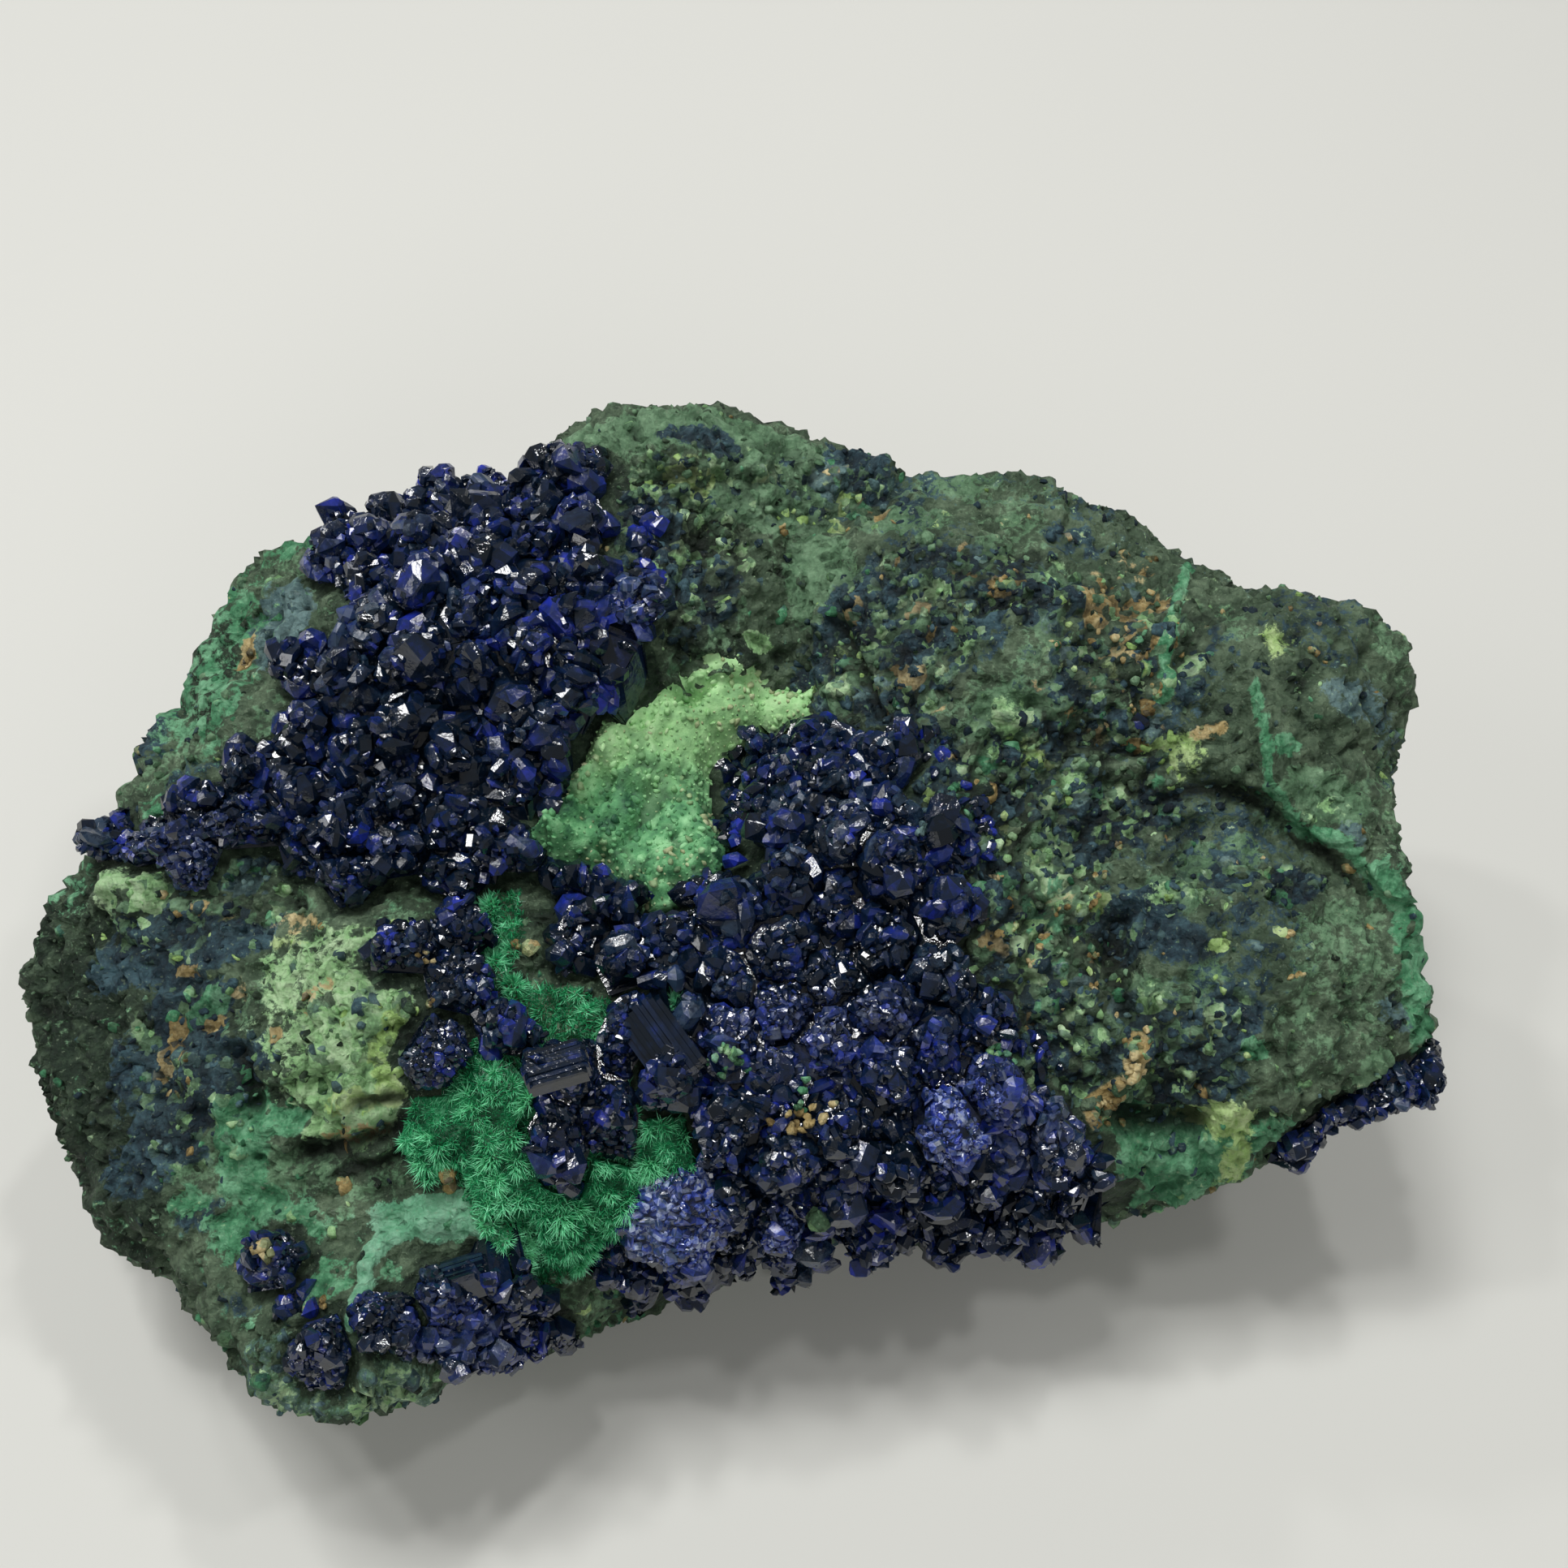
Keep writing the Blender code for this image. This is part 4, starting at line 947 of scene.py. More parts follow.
def bevelled_prism():
    """A prism with a rounded shoulder below its chisel top."""
    corners, ring, deep, slope, shoulder = prism_start((0.6, 0.95), (0.35, 0.6), (0.35, 0.65), (0.10, 0.40))
    inner = rng.uniform(0.60, 0.82)
    corners += [(x * inner, y * inner, 0.5 * (shoulder + 1.0) + slope * x * inner) for x, y in ring]
    ridge, flat = rng.uniform(0.15, 0.5), deep * rng.uniform(0.05, 0.35)
    corners += [(x * ridge, y * flat, 1.0 + slope * x * ridge) for x, y in SIGNS]
    return hull(np.array(corners) + rng.normal(0.0, 0.02, (len(corners), 3)))


def pebble():
    """A rounded pebble about two units across."""
    ways = unit(rng.normal(size=(PEBBLE_CORNERS, 3)))
    return hull(ways * rng.uniform(0.8, 1.0, (PEBBLE_CORNERS, 1)) * (1.0, 0.8, 0.7))


def frames_along(directions, spins):
    """A turned set of axes for each direction, which becomes its third axis."""
    helper = np.where(np.abs(directions[:, 2:]) < 0.9, (0.0, 0.0, 1.0), (1.0, 0.0, 0.0))
    first = unit(np.cross(helper, directions))
    second = np.cross(directions, first)
    cos, sin = np.cos(spins)[:, None], np.sin(spins)[:, None]
    return np.stack([first * cos + second * sin, second * cos - first * sin, directions], axis=1)


def grown(forms, places, directions, sizes):
    """One copy of a form at each place: corners, triangles, the owner of each triangle, and its facet."""
    count = len(places)
    axes = frames_along(directions, rng.uniform(0.0, 2 * math.pi, count))
    which = rng.integers(0, len(forms), count)
    parts = []
    for number in np.unique(which):
        corners, triangles, facet = forms[number]
        mine = np.flatnonzero(which == number)
        turned = np.einsum("kvi,kij->kvj", corners[None] * sizes[mine][:, None, :], axes[mine])
        copies = triangles[None] + len(corners) * np.arange(len(mine))[:, None, None]
        facts = {"owner": np.repeat(mine, len(triangles)), "facet": np.tile(facet, len(mine))}
        parts.append(((turned + places[mine][:, None]).reshape(-1, 3), copies.reshape(-1, 3), facts))
    points, faces, facts = joined(parts)
    return points, faces, facts["owner"], facts["facet"]


def random_places(points, faces, weights, count):
    """Random places on a surface of triangles, and the surface's direction at each."""
    direction, area = face_normals(points, faces)
    chance = area * weights
    picks = rng.choice(len(faces), count, p=chance / chance.sum())
    u, v = rng.random((2, count))
    over = u + v > 1.0
    u, v = np.where(over, 1.0 - u, u), np.where(over, 1.0 - v, v)
    a, b, c = (points[faces[picks, i]] for i in range(3))
    return a + u[:, None] * (b - a) + v[:, None] * (c - a), direction[picks]


def scattered(points, faces, weights, spacing, tries, factor=None):
    """Places on a surface, none nearer to another than the spacing, times its factor there if it has one."""
    places, ways = random_places(points, faces, weights, tries)
    room = spacing * (factor(places) if factor else np.ones(tries))
    cells = np.floor(places / room.max()).astype(int).tolist()
    grid, kept = {}, []
    for i, (place, gap, (x, y, z)) in enumerate(zip(places.tolist(), room.tolist(), cells)):
        crowd = [j for dx, dy, dz in STEPS for j in grid.get((x + dx, y + dy, z + dz), ())]
        if all(math.dist(place, places[j]) >= gap for j in crowd):
            grid.setdefault((x, y, z), []).append(i)
            kept.append(i)
    return places[kept], ways[kept]


def leaning(normals, amount):
    """Directions spread about the normals."""
    return unit(normals + rng.normal(size=normals.shape) * amount)


# ---- azurite ----

BIG_FORMS = [bevelled_prism() for _ in range(10)]
SMALL_FORMS = [plain_prism() for _ in range(8)]
PEBBLES = [pebble() for _ in range(8)]
CRYSTAL_SIZE = 0.92
SMALL_CRYSTAL_SIZE = 0.46
# In crystal sizes: the room round one, its least half size, and how much more that may be.
CRYSTAL_GAP = 1.2
CRYSTAL_LEAST = 0.62
CRYSTAL_MORE = 0.75
# How many big and small crystals are tried on the large crust, on each other node, and on the round rosette.
CRUST_TRIES = (16000, 26000)
NODE_TRIES = (1500, 4000)
ROSETTE_TRIES = 5000
# How deep they sit, in half sizes: big ones, small ones, which stand proud, and the round rosette's.
BIG_SINK = 0.15
SMALL_SINK = -0.15
ROSETTE_SINK = 0.3
CRYSTAL_LEAN = 0.42
# A crust with more triangles of small crystals than this has them as a piece of their own.
FEW_TRIANGLES = 60000
# In mm: how far below the CAD crust's surface crystals start, and how deep in the rock cleared corners lie.
CRYSTAL_ROOM = 0.85
CLEARED_DEPTH = 0.5


def rosette_distance(places):
    """How far out in the nearest rosette each place is: 0 at its middle and 1 at its edge."""
    return np.min([np.linalg.norm(places - middle, axis=1) / radius for *middle, radius in ROSETTES], axis=0)


def size_factor(places):
    """How coarse the azurite is at each place."""
    factor = moved_to_amounts(places, SIZE_PATCHES, SIZE_FADE)
    inside = smoothstep(1.15, 0.95, rosette_distance(places))
    return factor * (1.0 - inside) + ROSETTE_FACTOR * inside


def frost(places):
    """How much fine, duller crystal covers the azurite at each place."""
    on_rosette = smoothstep(1.15, 0.85, rosette_distance(places))
    return np.maximum(on_rosette, strongest(places, DULL_PATCHES, DULL_FADE))


def nearest_rock(rock, points):
    """The nearest place of the rock to each point, and its distance."""
    found = [rock.find_nearest(point) for point in points.tolist()]
    return np.array([place[:] for place, _, _, _ in found]), np.array([far for _, _, _, far in found])


def outer_weights(points, faces, rock):
    """1 for the faces of a crust that look away from the rock, and 0 for the others."""
    direction, _ = face_normals(points, faces)
    middle = points[faces].mean(axis=1)
    nearest, far = nearest_rock(rock, middle)
    away = np.sum((middle - nearest) * direction, axis=1) / np.maximum(far, 1e-6)
    return ((away > 0.1) & (far > 0.15)).astype(float)


def kept_clear(points, clear):
    """Which places the azurite stays off."""
    x, z = points[:, 0], points[:, 2]
    low = (z < LOW_EDGE_Z) & (x > LOW_EDGE_X[0]) & (x < LOW_EDGE_X[1])
    return np.any([low, *(in_outline(points, outline) for outline in clear)], axis=0)


def lowered(points, faces, rock, clear):
    """A crust's corners moved down to where its crystals grow from, and into the rock where the azurite is
    kept clear, with which corners those are."""
    cleared = kept_clear(points, clear)
    nearest, far = nearest_rock(rock, points)
    down = np.where(far > 0.3, np.minimum(CRYSTAL_ROOM * size_factor(points), 0.6 * far), 0.0)
    below = nearest + (nearest - points) / np.maximum(far, 1e-6)[:, None] * CLEARED_DEPTH
    sunk = points - corner_normals(points, faces) * down[:, None]
    return np.where(cleared[:, None], below, sunk), cleared


def facet_numbers(owners, facets, seed):
    """A repeatable random number for each facet of each crystal."""
    return cell_random(np.stack([owners, facets, np.zeros(len(owners), int)], axis=1), SEED + seed)


def crystals(surface, forms, size, tries, sink, clear):
    """Crystals of this size on a surface, but not inside the plan outlines that are kept clear."""
    places, normals = scattered(*surface, CRYSTAL_GAP * size, tries, size_factor)
    free = ~kept_clear(places, clear)
    places, normals = places[free], normals[free]
    count = len(places)
    half = size * size_factor(places) * (CRYSTAL_LEAST + CRYSTAL_MORE * rng.random(count) ** 1.5)
    spread = [rng.uniform(0.85, 1.30, count), rng.uniform(0.8, 1.1, count), rng.uniform(0.8, 1.2, count)]
    places = places - normals * (sink * half)[:, None]
    sizes = half[:, None] * np.stack(spread, axis=1)
    corners, triangles, owners, facets = grown(forms, places, leaning(normals, CRYSTAL_LEAN), sizes)
    dusty = np.clip(0.55 * rng.random(count) + 0.75 * (layered(places, 5.0, 2, 31) - 0.25), 0.0, 1.0)
    tint = np.clip(0.6 * rng.random(count) + 0.4 * layered(places, 6.0, 2, 33), 0.0, 1.0)
    return corners, triangles, {"tint": tint[owners], "dusty": dusty[owners],
                                "facet": facet_numbers(owners, facets, 30), "frost": frost(places)[owners]}


def shaded_ground(points, faces):
    """A crust's own faces with their values. They are darker, as painted shade between the crystals."""
    count = len(faces)
    return points, faces, {"tint": 0.4 * rng.random(count), "dusty": rng.random(count) * 0.5,
                           "facet": rng.random(count), "frost": 0.5 * frost(points[faces].mean(axis=1))}


def add_azurite(name, rock, material, tries, clear):
    """A crust of azurite in place of its CAD node: big crystals, and small ones that fill it."""
    points, faces = node_mesh(name)
    weights = outer_weights(points, faces, rock)
    points, cleared = lowered(points, faces, rock, clear)
    surface = (points, faces, weights * (1.0 - cleared[faces].max(axis=1)))
    big = crystals(surface, BIG_FORMS, CRYSTAL_SIZE, tries[0], BIG_SINK, clear)
    small = crystals(surface, SMALL_FORMS, SMALL_CRYSTAL_SIZE, tries[1], SMALL_SINK, clear)
    parts = [shaded_ground(points, faces), big]
    if len(small[1]) < FEW_TRIANGLES:
        parts.append(small)
    else:
        add_piece(name + "_fine_crystals", small, material)
    add_piece(name + "_crystals", joined(parts), material, replaced=(name,))


def add_round_rosette(middle, way, half_sizes, material):
    """A dome of the smallest crystals."""
    dome = bmesh.new()
    bmesh.ops.create_icosphere(dome, subdivisions=3, radius=1.0)
    points = np.array([v.co[:] for v in dome.verts]) * half_sizes
    faces = np.array([[v.index for v in f.verts] for f in dome.faces])
    dome.free()
    points *= 1.0 + wobble(points, 2.6, 2, 97, 1.2)[:, None]
    points = points @ frames_along(unit(np.array([way])), np.zeros(1))[0] + middle
    surface = (points, faces, np.ones(len(faces)))
    small = crystals(surface, BIG_FORMS, CRYSTAL_SIZE, ROSETTE_TRIES, ROSETTE_SINK, ())
    add_piece("azurite_round_rosette", joined([shaded_ground(points, faces), small]), material)


def lath_crystal(tree, x, y, heading, tilt, roll, length, width, height, laths, sink):
    """A big striated crystal: narrow laths side by side, whose steps are its fine grooves."""
    place = np.array(tree.ray_cast((x, y, ABOVE_ALL), DOWN)[0]) - (0.0, 0.0, sink)
    (east, north), (flat, up), (cos, sin) = cos_sin(heading), cos_sin(tilt), cos_sin(roll)
    along, level = np.array([east * flat, north * flat, up]), np.array([-north, east, 0.0])
    across = level * cos + np.cross(along, level) * sin
    axes = np.stack([along, across, np.cross(along, across)])
    parts = []
    for i in range(laths):
        middle = (i + 0.5) / laths * 2.0 - 1.0
        half = width / laths * rng.uniform(0.52, 0.62)
        tall = height * (1.0 - 0.40 * middle ** 2) * rng.uniform(0.86, 1.06)
        ends = [length * rng.uniform(0.46, 0.52) * (1.0 - 0.20 * middle ** 2) for _ in range(2)]
        corners = []
        for sign, side in SIGNS:
            end = sign * ends[sign > 0]
            corners += [(end, side * half, -height), (end, side * half, tall * 0.55),
                        (end * 0.86, side * half * 0.8, tall)]
        points, faces, _ = hull(corners)
        count = len(faces)
        values = {"tint": np.full(count, rng.uniform(0.15, 0.6)), "dusty": np.zeros(count),
                  "facet": rng.random(count) * 0.8, "frost": np.zeros(count)}
        parts.append((place + (points + (0.0, middle * width / 2, 0.0)) @ axes, faces, values))
    return joined(parts)


def add_big_crystals(tree, material):
    """The big striated crystals, as one piece."""
    crystals_there = joined([lath_crystal(tree, *facts) for facts in BIG_CRYSTALS])
    add_piece("azurite_big_crystals", crystals_there, material)


def add_sprinkled(tree, material):
    """Single crystals and small clumps of azurite that stand on the rock and in the hollow."""
    parts = []
    for *patch, count, half_size in SPRINKLES:
        places, ways = dropped(tree, patch, count)
        half = half_size * rng.uniform(0.6, 1.3, len(places))
        sizes = half[:, None] * rng.uniform(0.8, 1.2, (len(places), 3))
        corners, triangles, owners, facets = grown(BIG_FORMS, places, leaning(ways, 0.5), sizes)
        values = {"tint": rng.random(len(places))[owners], "dusty": 0.4 * rng.random(len(places))[owners],
                  "facet": facet_numbers(owners, facets, 32), "frost": np.zeros(len(owners))}
        parts.append((corners, triangles, values))
    add_piece("azurite_sprinkled_crystals", joined(parts), material)


# ---- velvet ----

NEEDLES = 46000
NEEDLE_LENGTHS = (0.40, 0.95)
NEEDLE_HALF_WIDTH = 0.05
# How far a needle's foot lies below the surface, in mm.
NEEDLE_FOOT = 0.1
# The tufts' size in mm, how far their needles spread, and how much each one strays.
TUFT_SIZE = 1.3
TUFT_SPREAD = 1.7
NEEDLE_STRAY = 0.55
# The skin's triangles in the velvet's outline count above this height only.
VELVET_LOWEST = 15.0
THIRDS = [0.0, 2 * math.pi / 3, 4 * math.pi / 3]
NEEDLE_FACES = np.array([(0, 1, 3), (1, 2, 3), (2, 0, 3), (2, 1, 0)])


def velvet_ground(skin, rock):
    """The triangles that needles grow on: the velvet node's, and those of the skin in its outline."""
    points, faces = node_mesh("malachite_velvet")
    skin_points, skin_faces = skin[0], triangles_of(skin[1])
    middle = skin_points[skin_faces].mean(axis=1)
    near = skin_faces[in_outline(middle, VELVET) & (middle[:, 2] > VELVET_LOWEST)]
    return joined([(points, faces, {"weight": outer_weights(points, faces, rock)}),
                   (skin_points, near, {"weight": np.ones(len(near))})])


def add_velvet(skin, rock, material):
    """Tufts of short needles over the velvet node, and over the rock beside it."""
    points, faces, values = velvet_ground(skin, rock)
    roots, normals = random_places(points, faces, values["weight"], NEEDLES)
    _, inside, tag, centre = lumps(roots, TUFT_SIZE, 80)
    spread = (roots - centre) / TUFT_SIZE * TUFT_SPREAD
    ways = unit(normals + spread + rng.normal(size=roots.shape) * NEEDLE_STRAY)
    tuft = smoothstep(0.0, 0.35, inside)
    lengths = rng.uniform(*NEEDLE_LENGTHS, NEEDLES) * (0.35 + 0.65 * tuft) * (0.6 + 0.7 * tag)
    axes = frames_along(ways, rng.uniform(0.0, 2 * math.pi, NEEDLES))
    foot = roots - ways * NEEDLE_FOOT
    ring = [foot + NEEDLE_HALF_WIDTH * (math.cos(t) * axes[:, 0] + math.sin(t) * axes[:, 1]) for t in THIRDS]
    needles = np.stack([*ring, roots + ways * lengths[:, None]], axis=1).reshape(-1, 3)
    needle_faces = (NEEDLE_FACES[None] + 4 * np.arange(NEEDLES)[:, None, None]).reshape(-1, 3)
    # Each tuft's own random tone, with painted shade: darker toward the tuft's edge, and a tenth as light at
    # the needles' feet.
    bright = np.clip(0.70 * tag + 0.65 * rng.random(NEEDLES), 0.0, 1.0) * (0.1 + 0.9 * tuft)
    tips = np.stack([bright * 0.1] * 3 + [bright], axis=1).ravel()
    # The velvet node under the needles gets the darkest shade, as painted shade.
    base, base_faces = node_mesh("malachite_velvet")
    parts = [(base, base_faces, {"tip": np.zeros(len(base))}), (needles, needle_faces, {"tip": tips})]
    add_piece("malachite_velvet_needles", joined(parts), material,
              replaced=("malachite_velvet",))


# ---- loose grains ----

# Grains, and the nodules of the blue rock: spacing, how many are tried, least half size, how much more it
# may be, its power, and how deep they sink in half sizes.
GRAINS = (0.80, 14600, 0.26, 0.36, 1.6, 0.25)
NODULES = (1.35, 8200, 0.55, 0.40, 1.0, 0.45)
# How much more or less often than the rock itself the grains are of a mineral.
GRAIN_SHARES = {"blue": 1.7, "pale": 0.5, "mint": 0.5, "malachite": 0.6, "ochre": 0.8}
# What each ochre dot is: its half width and half depth, turn, mineral, number of grains and half size.
DOT_FORM = (0.5, 0.4, 0, "ochre", 4, 0.34)


def grain_weight(points, normals, covered):
    """How likely a grain is at each point of the rock."""
    busy = np.maximum(lumpiness(points, on_top(points, normals)) ** 1.5, 0.04)
    busy = busy * (1.0 - covered) * smoothstep(1.0, 3.0, points[:, 2])
    return busy * (0.25 + smoothstep(0.35, 0.65, layered(points, 5.0, 2, 95)))


def picked_minerals(places, normals):
    """One mineral for each place, by its shares there."""
    return {mineral: (rng.random(len(places)) < share * GRAIN_SHARES.get(mineral, 1.0)).astype(float)
            for mineral, share in mineral_shares(places, normals).items()}


def pebbles(places, ways, half, lean, sink=0.0):
    """Rounded pebbles of these half sizes at these places: corners, triangles and owners."""
    sizes = half[:, None] * rng.uniform(0.75, 1.2, (len(places), 3))
    return grown(PEBBLES, places - ways * (sink * half)[:, None], leaning(ways, lean), sizes)[:3]


def rock_grains(places, ways, half, minerals, sink=0.0):
    """Pebbles of these minerals, as one part."""
    corners, triangles, owners = pebbles(places, ways, half, 0.6, sink)
    values = {mineral: share[owners] for mineral, share in minerals.items()}
    values["hollow"] = np.zeros(len(owners))
    values["calm"] = np.full(len(owners), 0.4)
    values["grain"] = rng.random(len(places))[owners]
    return corners, triangles, values


def add_grains(points, faces, covered, tree, material):
    """Rounded grains and bigger nodules that stand on the rock, and clumps of grains on the crusts."""
    skin = triangles_of(faces)
    normals = corner_normals(points, faces)
    weights = grain_weight(points, normals, covered)[skin].mean(axis=1)
    shares = mineral_shares(points, normals)
    bluish = np.clip(shares["blue"] + 0.7 * shares["teal"] + 0.3 * shares["pale"], 0.0, 1.0) ** 1.5
    parts = []
    for facts, bias in ((GRAINS, 1.0), (NODULES, bluish[skin].mean(axis=1))):
        spacing, tries, least, more, power, sink = facts
        places, ways = scattered(points, skin, weights * bias, spacing, tries)
        half = least + more * rng.random(len(places)) ** power
        parts.append(rock_grains(places, ways, half, picked_minerals(places, ways), sink))
    for *patch, mineral, count, half_size in CLUMPS + [(*dot, *DOT_FORM) for dot in OCHRE_DOTS]:
        places, ways = dropped(tree, patch, count)
        minerals = {name: np.full(len(places), float(name == mineral)) for name in PATCHES}
        half = half_size * rng.uniform(0.8, 1.2, len(places))
        parts.append(rock_grains(places, ways, half, minerals))
    add_piece("rock_grains", joined(parts), material, smooth=True)


# ---- the pocket ----

POCKET_STEP = 0.22
POCKET_LIFT = 0.25
# The crust's edge in the hollow: its raggedness, how wide its rim is and how far it drops, and how deep its
# underside lies, in mm.
POCKET_RAGGED = 1.4
POCKET_RIM = 1.2
POCKET_RIM_DROP = 0.5
POCKET_DEPTH = 1.6
# Its knobs' sizes and depths, and its grains' spacing and how many are tried.
KNOB_SIZES = [(2.6, 1.7), (1.2, 0.7)]
POCKET_SPACING = 0.42
POCKET_TRIES = 5200


def pocket_grid(skin):
    """An even grid over the hollow's outline, dropped on the rock: corners in mm and four-sided faces."""
    tree = tree_of(node_mesh("malachite_pocket"), skin)
    low, high = np.min(POCKET, axis=0) - 1.0, np.max(POCKET, axis=0) + 1.0
    x, y = np.meshgrid(np.arange(low[0], high[0], POCKET_STEP), np.arange(low[1], high[1], POCKET_STEP))
    plan = np.stack([x.ravel(), y.ravel()], axis=1).tolist()
    spots = np.array([(*spot, tree.ray_cast((*spot, ABOVE_ALL), DOWN)[0][2]) for spot in plan])
    inside = in_outline(spots + wobble(spots, 2.0, 3, 93, POCKET_RAGGED)[:, None], POCKET)
    columns = x.shape[1]
    first = np.arange(x.size - columns).reshape(-1, columns)[:, :-1].ravel()
    faces = np.stack([first, first + 1, first + columns + 1, first + columns], axis=1)
    used, faces = np.unique(faces[inside[faces].all(axis=1)], return_inverse=True)
    return spots[used], faces.reshape(-1, 4)


def rim_of(faces):
    """The open edges of a surface of four-sided faces."""
    edges = edges_of(faces).tolist()
    known = set(map(tuple, edges))
    return np.array([(start, end) for start, end in edges if (end, start) not in known])


def rim_distance(points, faces):
    """How far each corner of an open surface lies from its rim, in mm."""
    rim = points[np.unique(rim_of(faces))][:, :2]
    return np.array([np.min(np.linalg.norm(rim - point, axis=1)) for point in points[:, :2]])


def slab(points, faces, depth):
    """A surface closed below at this depth: corners and four-sided faces."""
    start, end = rim_of(faces).T
    count = len(points)
    walls = np.stack([end, start, start + count, end + count], axis=1)
    points = np.concatenate([points, points - (0.0, 0.0, depth)])
    return points, np.concatenate([faces, faces[:, ::-1] + count, walls])


def pocket_lit_back(points):
    """0 at the hollow's front and 1 at its back, whose lighter shades are partly painted light."""
    return smoothstep(1.0, 8.0, points[:, 1] + wobble(points, 2.5, 2, 96, 6.0))


def add_pocket(skin, material):
    """The crust in the hollow: rounded knobs, and grains on them, some of them cream."""
    points, faces = pocket_grid(skin)
    points[:, 2] = relaxed(points, faces, RELAX_ROUNDS)[:, 2] + POCKET_LIFT
    # How far toward the back each point lies: the back gets lighter shades, partly painted light, lower knobs
    # and less painted shade.
    bright = pocket_lit_back(points)
    height = wobble(points, 3.0, 3, 90, 2.2)
    hollow = np.zeros(len(points))
    for index, (size, depth) in enumerate(KNOB_SIZES):
        warped = points + wobble(points, size, 3, 94, size * 0.9)[:, None]
        far, _, tag, _ = lumps(warped, size, 91 + index)
        dome = np.sqrt(np.clip(1.0 - (far / 0.8) ** 2, 0.0, 1.0))
        height += dome * depth * (0.3 + 0.7 * tag) * (1.0 - 0.6 * bright)
        # Painted shade between the knobs, less of it at the lit back.
        hollow = np.maximum(hollow, smoothstep(0.60, 0.10, dome) * (1.0 - 0.75 * bright))
    inner = smoothstep(0.0, POCKET_RIM, rim_distance(points, faces))
    points[:, 2] += height * inner - POCKET_RIM_DROP * (1.0 - inner)
    nothing = np.zeros(len(points))
    values = {"cream": nothing, "hollow": hollow, "grain": nothing + 0.5, "bright": bright}
    shape = (*slab(points, faces, POCKET_DEPTH), {name: np.tile(value, 2) for name, value in values.items()})
    add_piece("malachite_pocket_crust", shape, material, smooth=True,
              replaced=("malachite_pocket",))
    top = triangles_of(faces)
    places, ways = scattered(points, top, np.ones(len(top)), POCKET_SPACING, POCKET_TRIES)
    count = len(places)
    corners, triangles, owners = pebbles(places, ways, 0.13 + 0.34 * rng.random(count) ** 3, 0.5)
    creamy = layered(places, 2.2, 2, 92) + 0.25 * rng.random(count)
    cream = smoothstep(0.68, 0.80, creamy) * rng.uniform(0.3, 1.0, count)
    values = {"cream": cream, "hollow": np.zeros(count), "grain": rng.random(count),
              "bright": pocket_lit_back(places)}
    shape = (corners, triangles, {name: value[owners] for name, value in values.items()})
    add_piece("malachite_pocket_grains", shape, material, smooth=True)


# ---- stage ----

# From here on, lengths are in metres.
FLOOR_REACH = 3.0
FLOOR_SHADES = [(0.6402, 0.6402, 0.6014), (0.66, 0.66, 0.62)]
WORLD_COLOUR = (1.0, 0.99, 0.97, 1.0)
WORLD_STRENGTH = 0.15
# The point that the panels face, and each one's place, size, power, and whether facets mirror it.
MIDDLE = Vector((0.0, 0.0, 0.02))
PANELS = {
    "overhead": ((-0.20, 0.24, 0.82), (0.24, 0.18), 2.7, True),
    "window_left": ((-0.75, -0.1, 0.55), (0.25, 0.3), 0.75, True),
    "front_fill": ((0.25, -0.8, 0.6), (0.6, 0.3), 1.2, False),
    "spark_1": ((0.12, 0.25, 0.55), (0.04, 0.04), 0.50, True),
    "spark_2": ((-0.28, 0.10, 0.50), (0.04, 0.04), 0.38, True),
    "spark_3": ((0.30, 0.05, 0.50), (0.04, 0.04), 0.34, True),
    "spark_4": ((-0.05, 0.10, 0.60), (0.04, 0.04), 0.38, True),
    "spark_5": ((0.05, -0.30, 0.55), (0.03, 0.03), 0.26, True),
    "spark_6": ((-0.30, 0.40, 0.50), (0.05, 0.05), 0.42, True),
}
CAMERA_PLACE = (0.0040, -0.0645, 0.1310)
CAMERA_TILT = 34.0
CAMERA_NEAR = 0.01
LENS = 40.0
SENSOR = 36.0


def add_floor():
    """A plain pale floor."""
    paper = Finish("floor_paper")
    mesh = bpy.data.meshes.new("floor")
    corners = [(x * FLOOR_REACH, y * FLOOR_REACH, 0) for x, y in ((-1, -1), (1, -1), (1, 1), (-1, 1))]
    mesh.from_pydata(corners, [], [(0, 1, 2, 3)])
    mesh.materials.append(paper.finish(paper.shades(paper.noise(180.0, 2.0), (0.3, 0.7), FLOOR_SHADES), 0.7))
    floor = bpy.data.objects.new("floor", mesh)
    bpy.context.scene.collection.objects.link(floor)


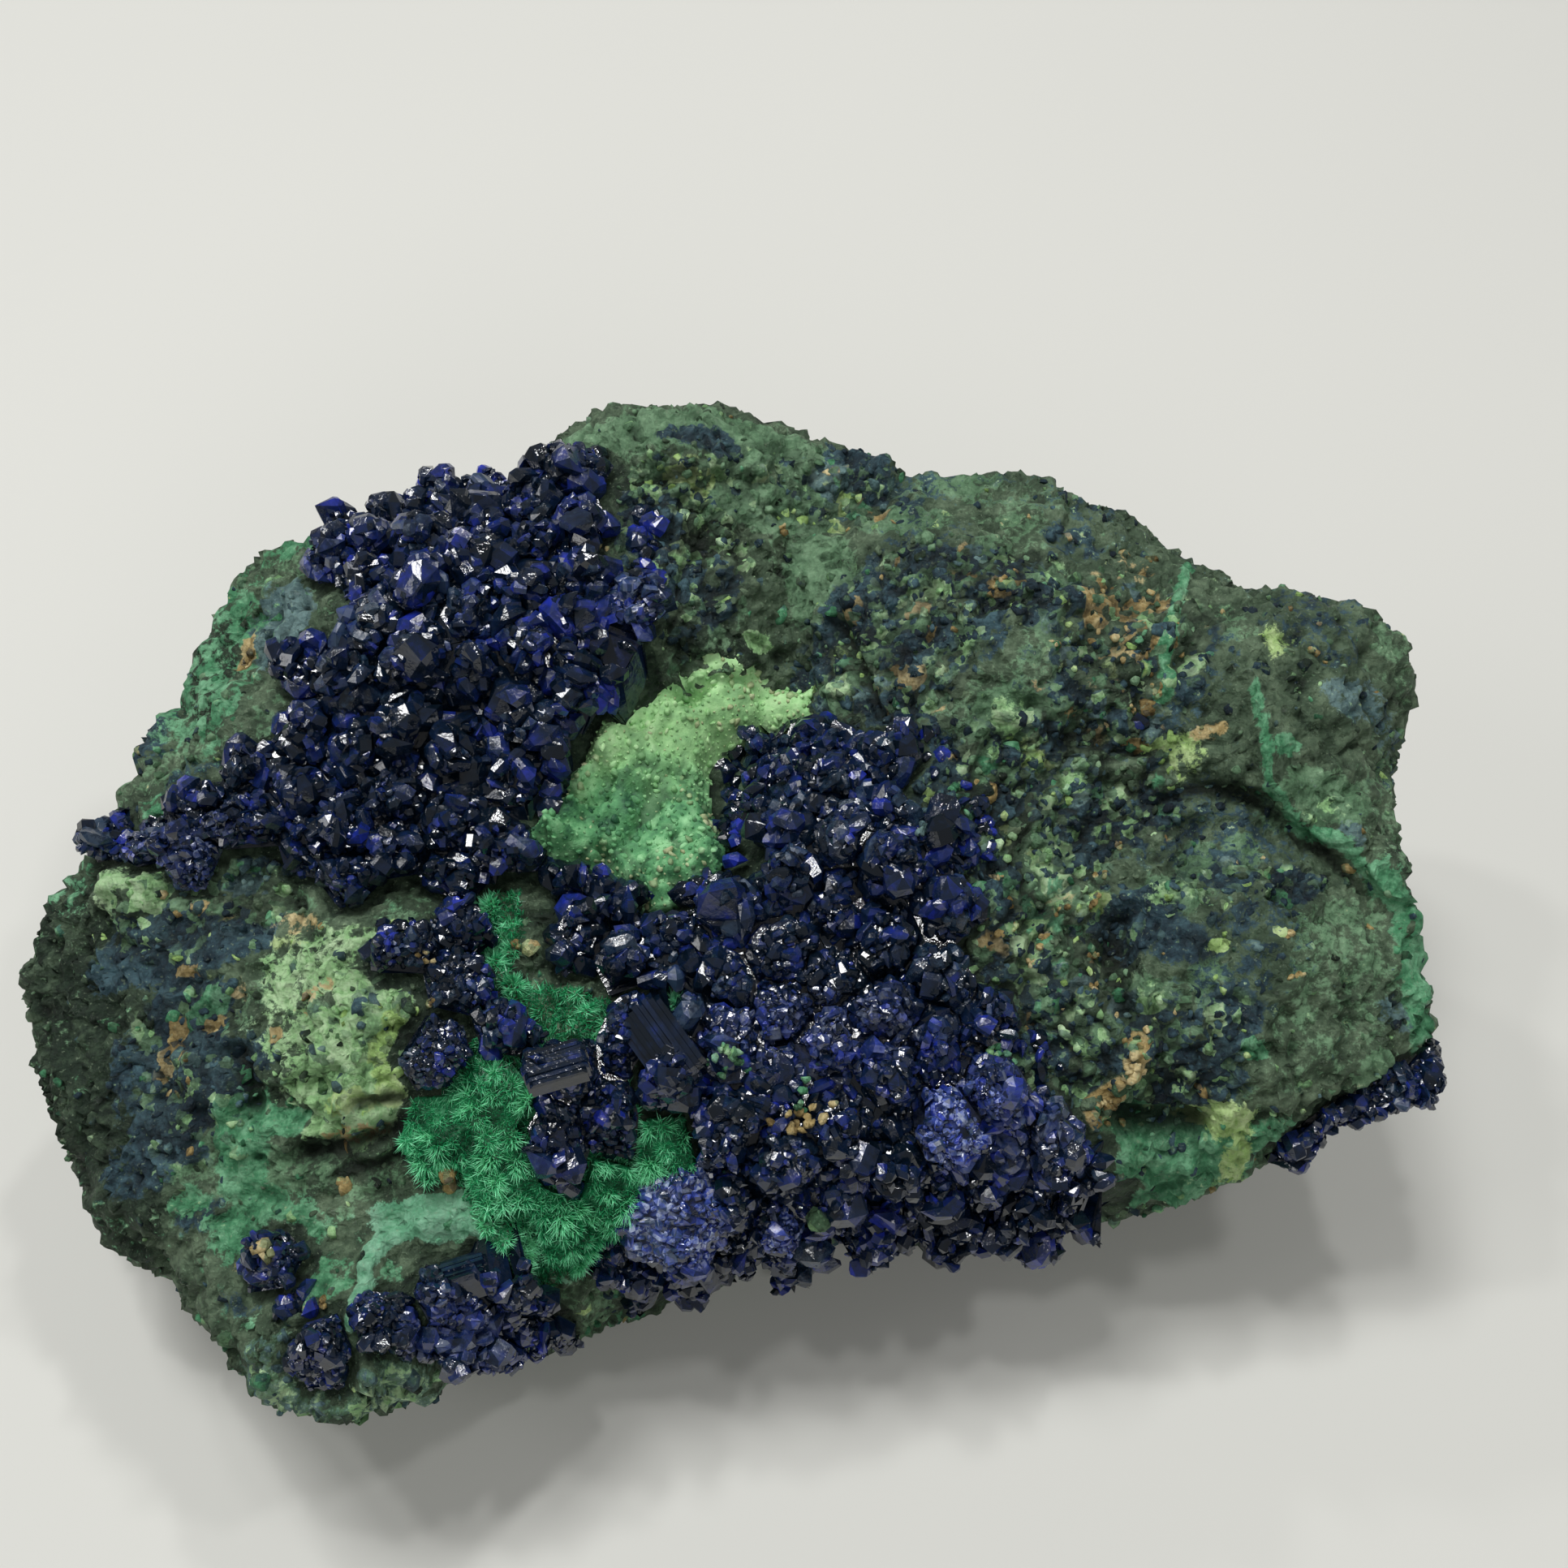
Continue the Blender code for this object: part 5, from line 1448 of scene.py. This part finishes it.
def add_world():
    """Even light from all sides."""
    world = bpy.data.worlds.new("studio")
    world.use_nodes = True
    background = world.node_tree.nodes["Background"]
    background.inputs["Color"].default_value = WORLD_COLOUR
    background.inputs["Strength"].default_value = WORLD_STRENGTH
    bpy.context.scene.world = world


def add_panel(name, place, size, watts, mirrored):
    """A panel of light that faces the specimen."""
    light = bpy.data.lights.new(name, "AREA")
    light.shape = "RECTANGLE"
    light.size, light.size_y = size
    light.energy = watts
    lamp = bpy.data.objects.new(name, light)
    lamp.visible_glossy = mirrored
    lamp.location = place
    lamp.rotation_mode = "QUATERNION"
    lamp.rotation_quaternion = (MIDDLE - Vector(place)).to_track_quat("-Z", "Y")
    bpy.context.scene.collection.objects.link(lamp)


def add_camera():
    """The camera, which looks down at the specimen from its front."""
    camera = bpy.data.objects.new("camera", bpy.data.cameras.new("camera"))
    camera.data.sensor_width = SENSOR
    camera.data.lens = LENS
    camera.data.clip_start = CAMERA_NEAR
    camera.location = CAMERA_PLACE
    camera.rotation_euler = (math.radians(CAMERA_TILT), 0.0, 0.0)
    bpy.context.scene.collection.objects.link(camera)
    bpy.context.scene.camera = camera


# ---- making it all ----

add_camera()
add_floor()
add_world()
for panel, facts in PANELS.items():
    add_panel(panel, *facts)
bpy.context.scene.view_settings.view_transform = "Standard"

rock_material = rock_finish()
azurite_material = azurite_finish()
crust_surfaces = [node_mesh(node) for node in CRUST_NODES]
skin_points, skin_faces, skin_covered = add_rock(tree_of(*crust_surfaces), rock_material)
rock_skin = (skin_points, skin_faces)
cad_rock = tree_of(node_mesh("rock_matrix"))
everything = tree_of(*crust_surfaces, rock_skin)
add_grains(skin_points, skin_faces, skin_covered, everything, rock_material)
add_azurite("azurite_crust", cad_rock, azurite_material, CRUST_TRIES, (VELVET, POCKET, GREEN_EDGE))
for node in CRUST_NODES:
    if node.startswith("azurite") and node != "azurite_crust":
        add_azurite(node, cad_rock, azurite_material, NODE_TRIES, (MINT_EDGE,))
add_sprinkled(everything, azurite_material)
add_big_crystals(everything, azurite_material)
add_round_rosette(*ROUND_ROSETTE, azurite_material)
add_velvet(rock_skin, cad_rock, velvet_finish())
add_pocket(rock_skin, pocket_finish())
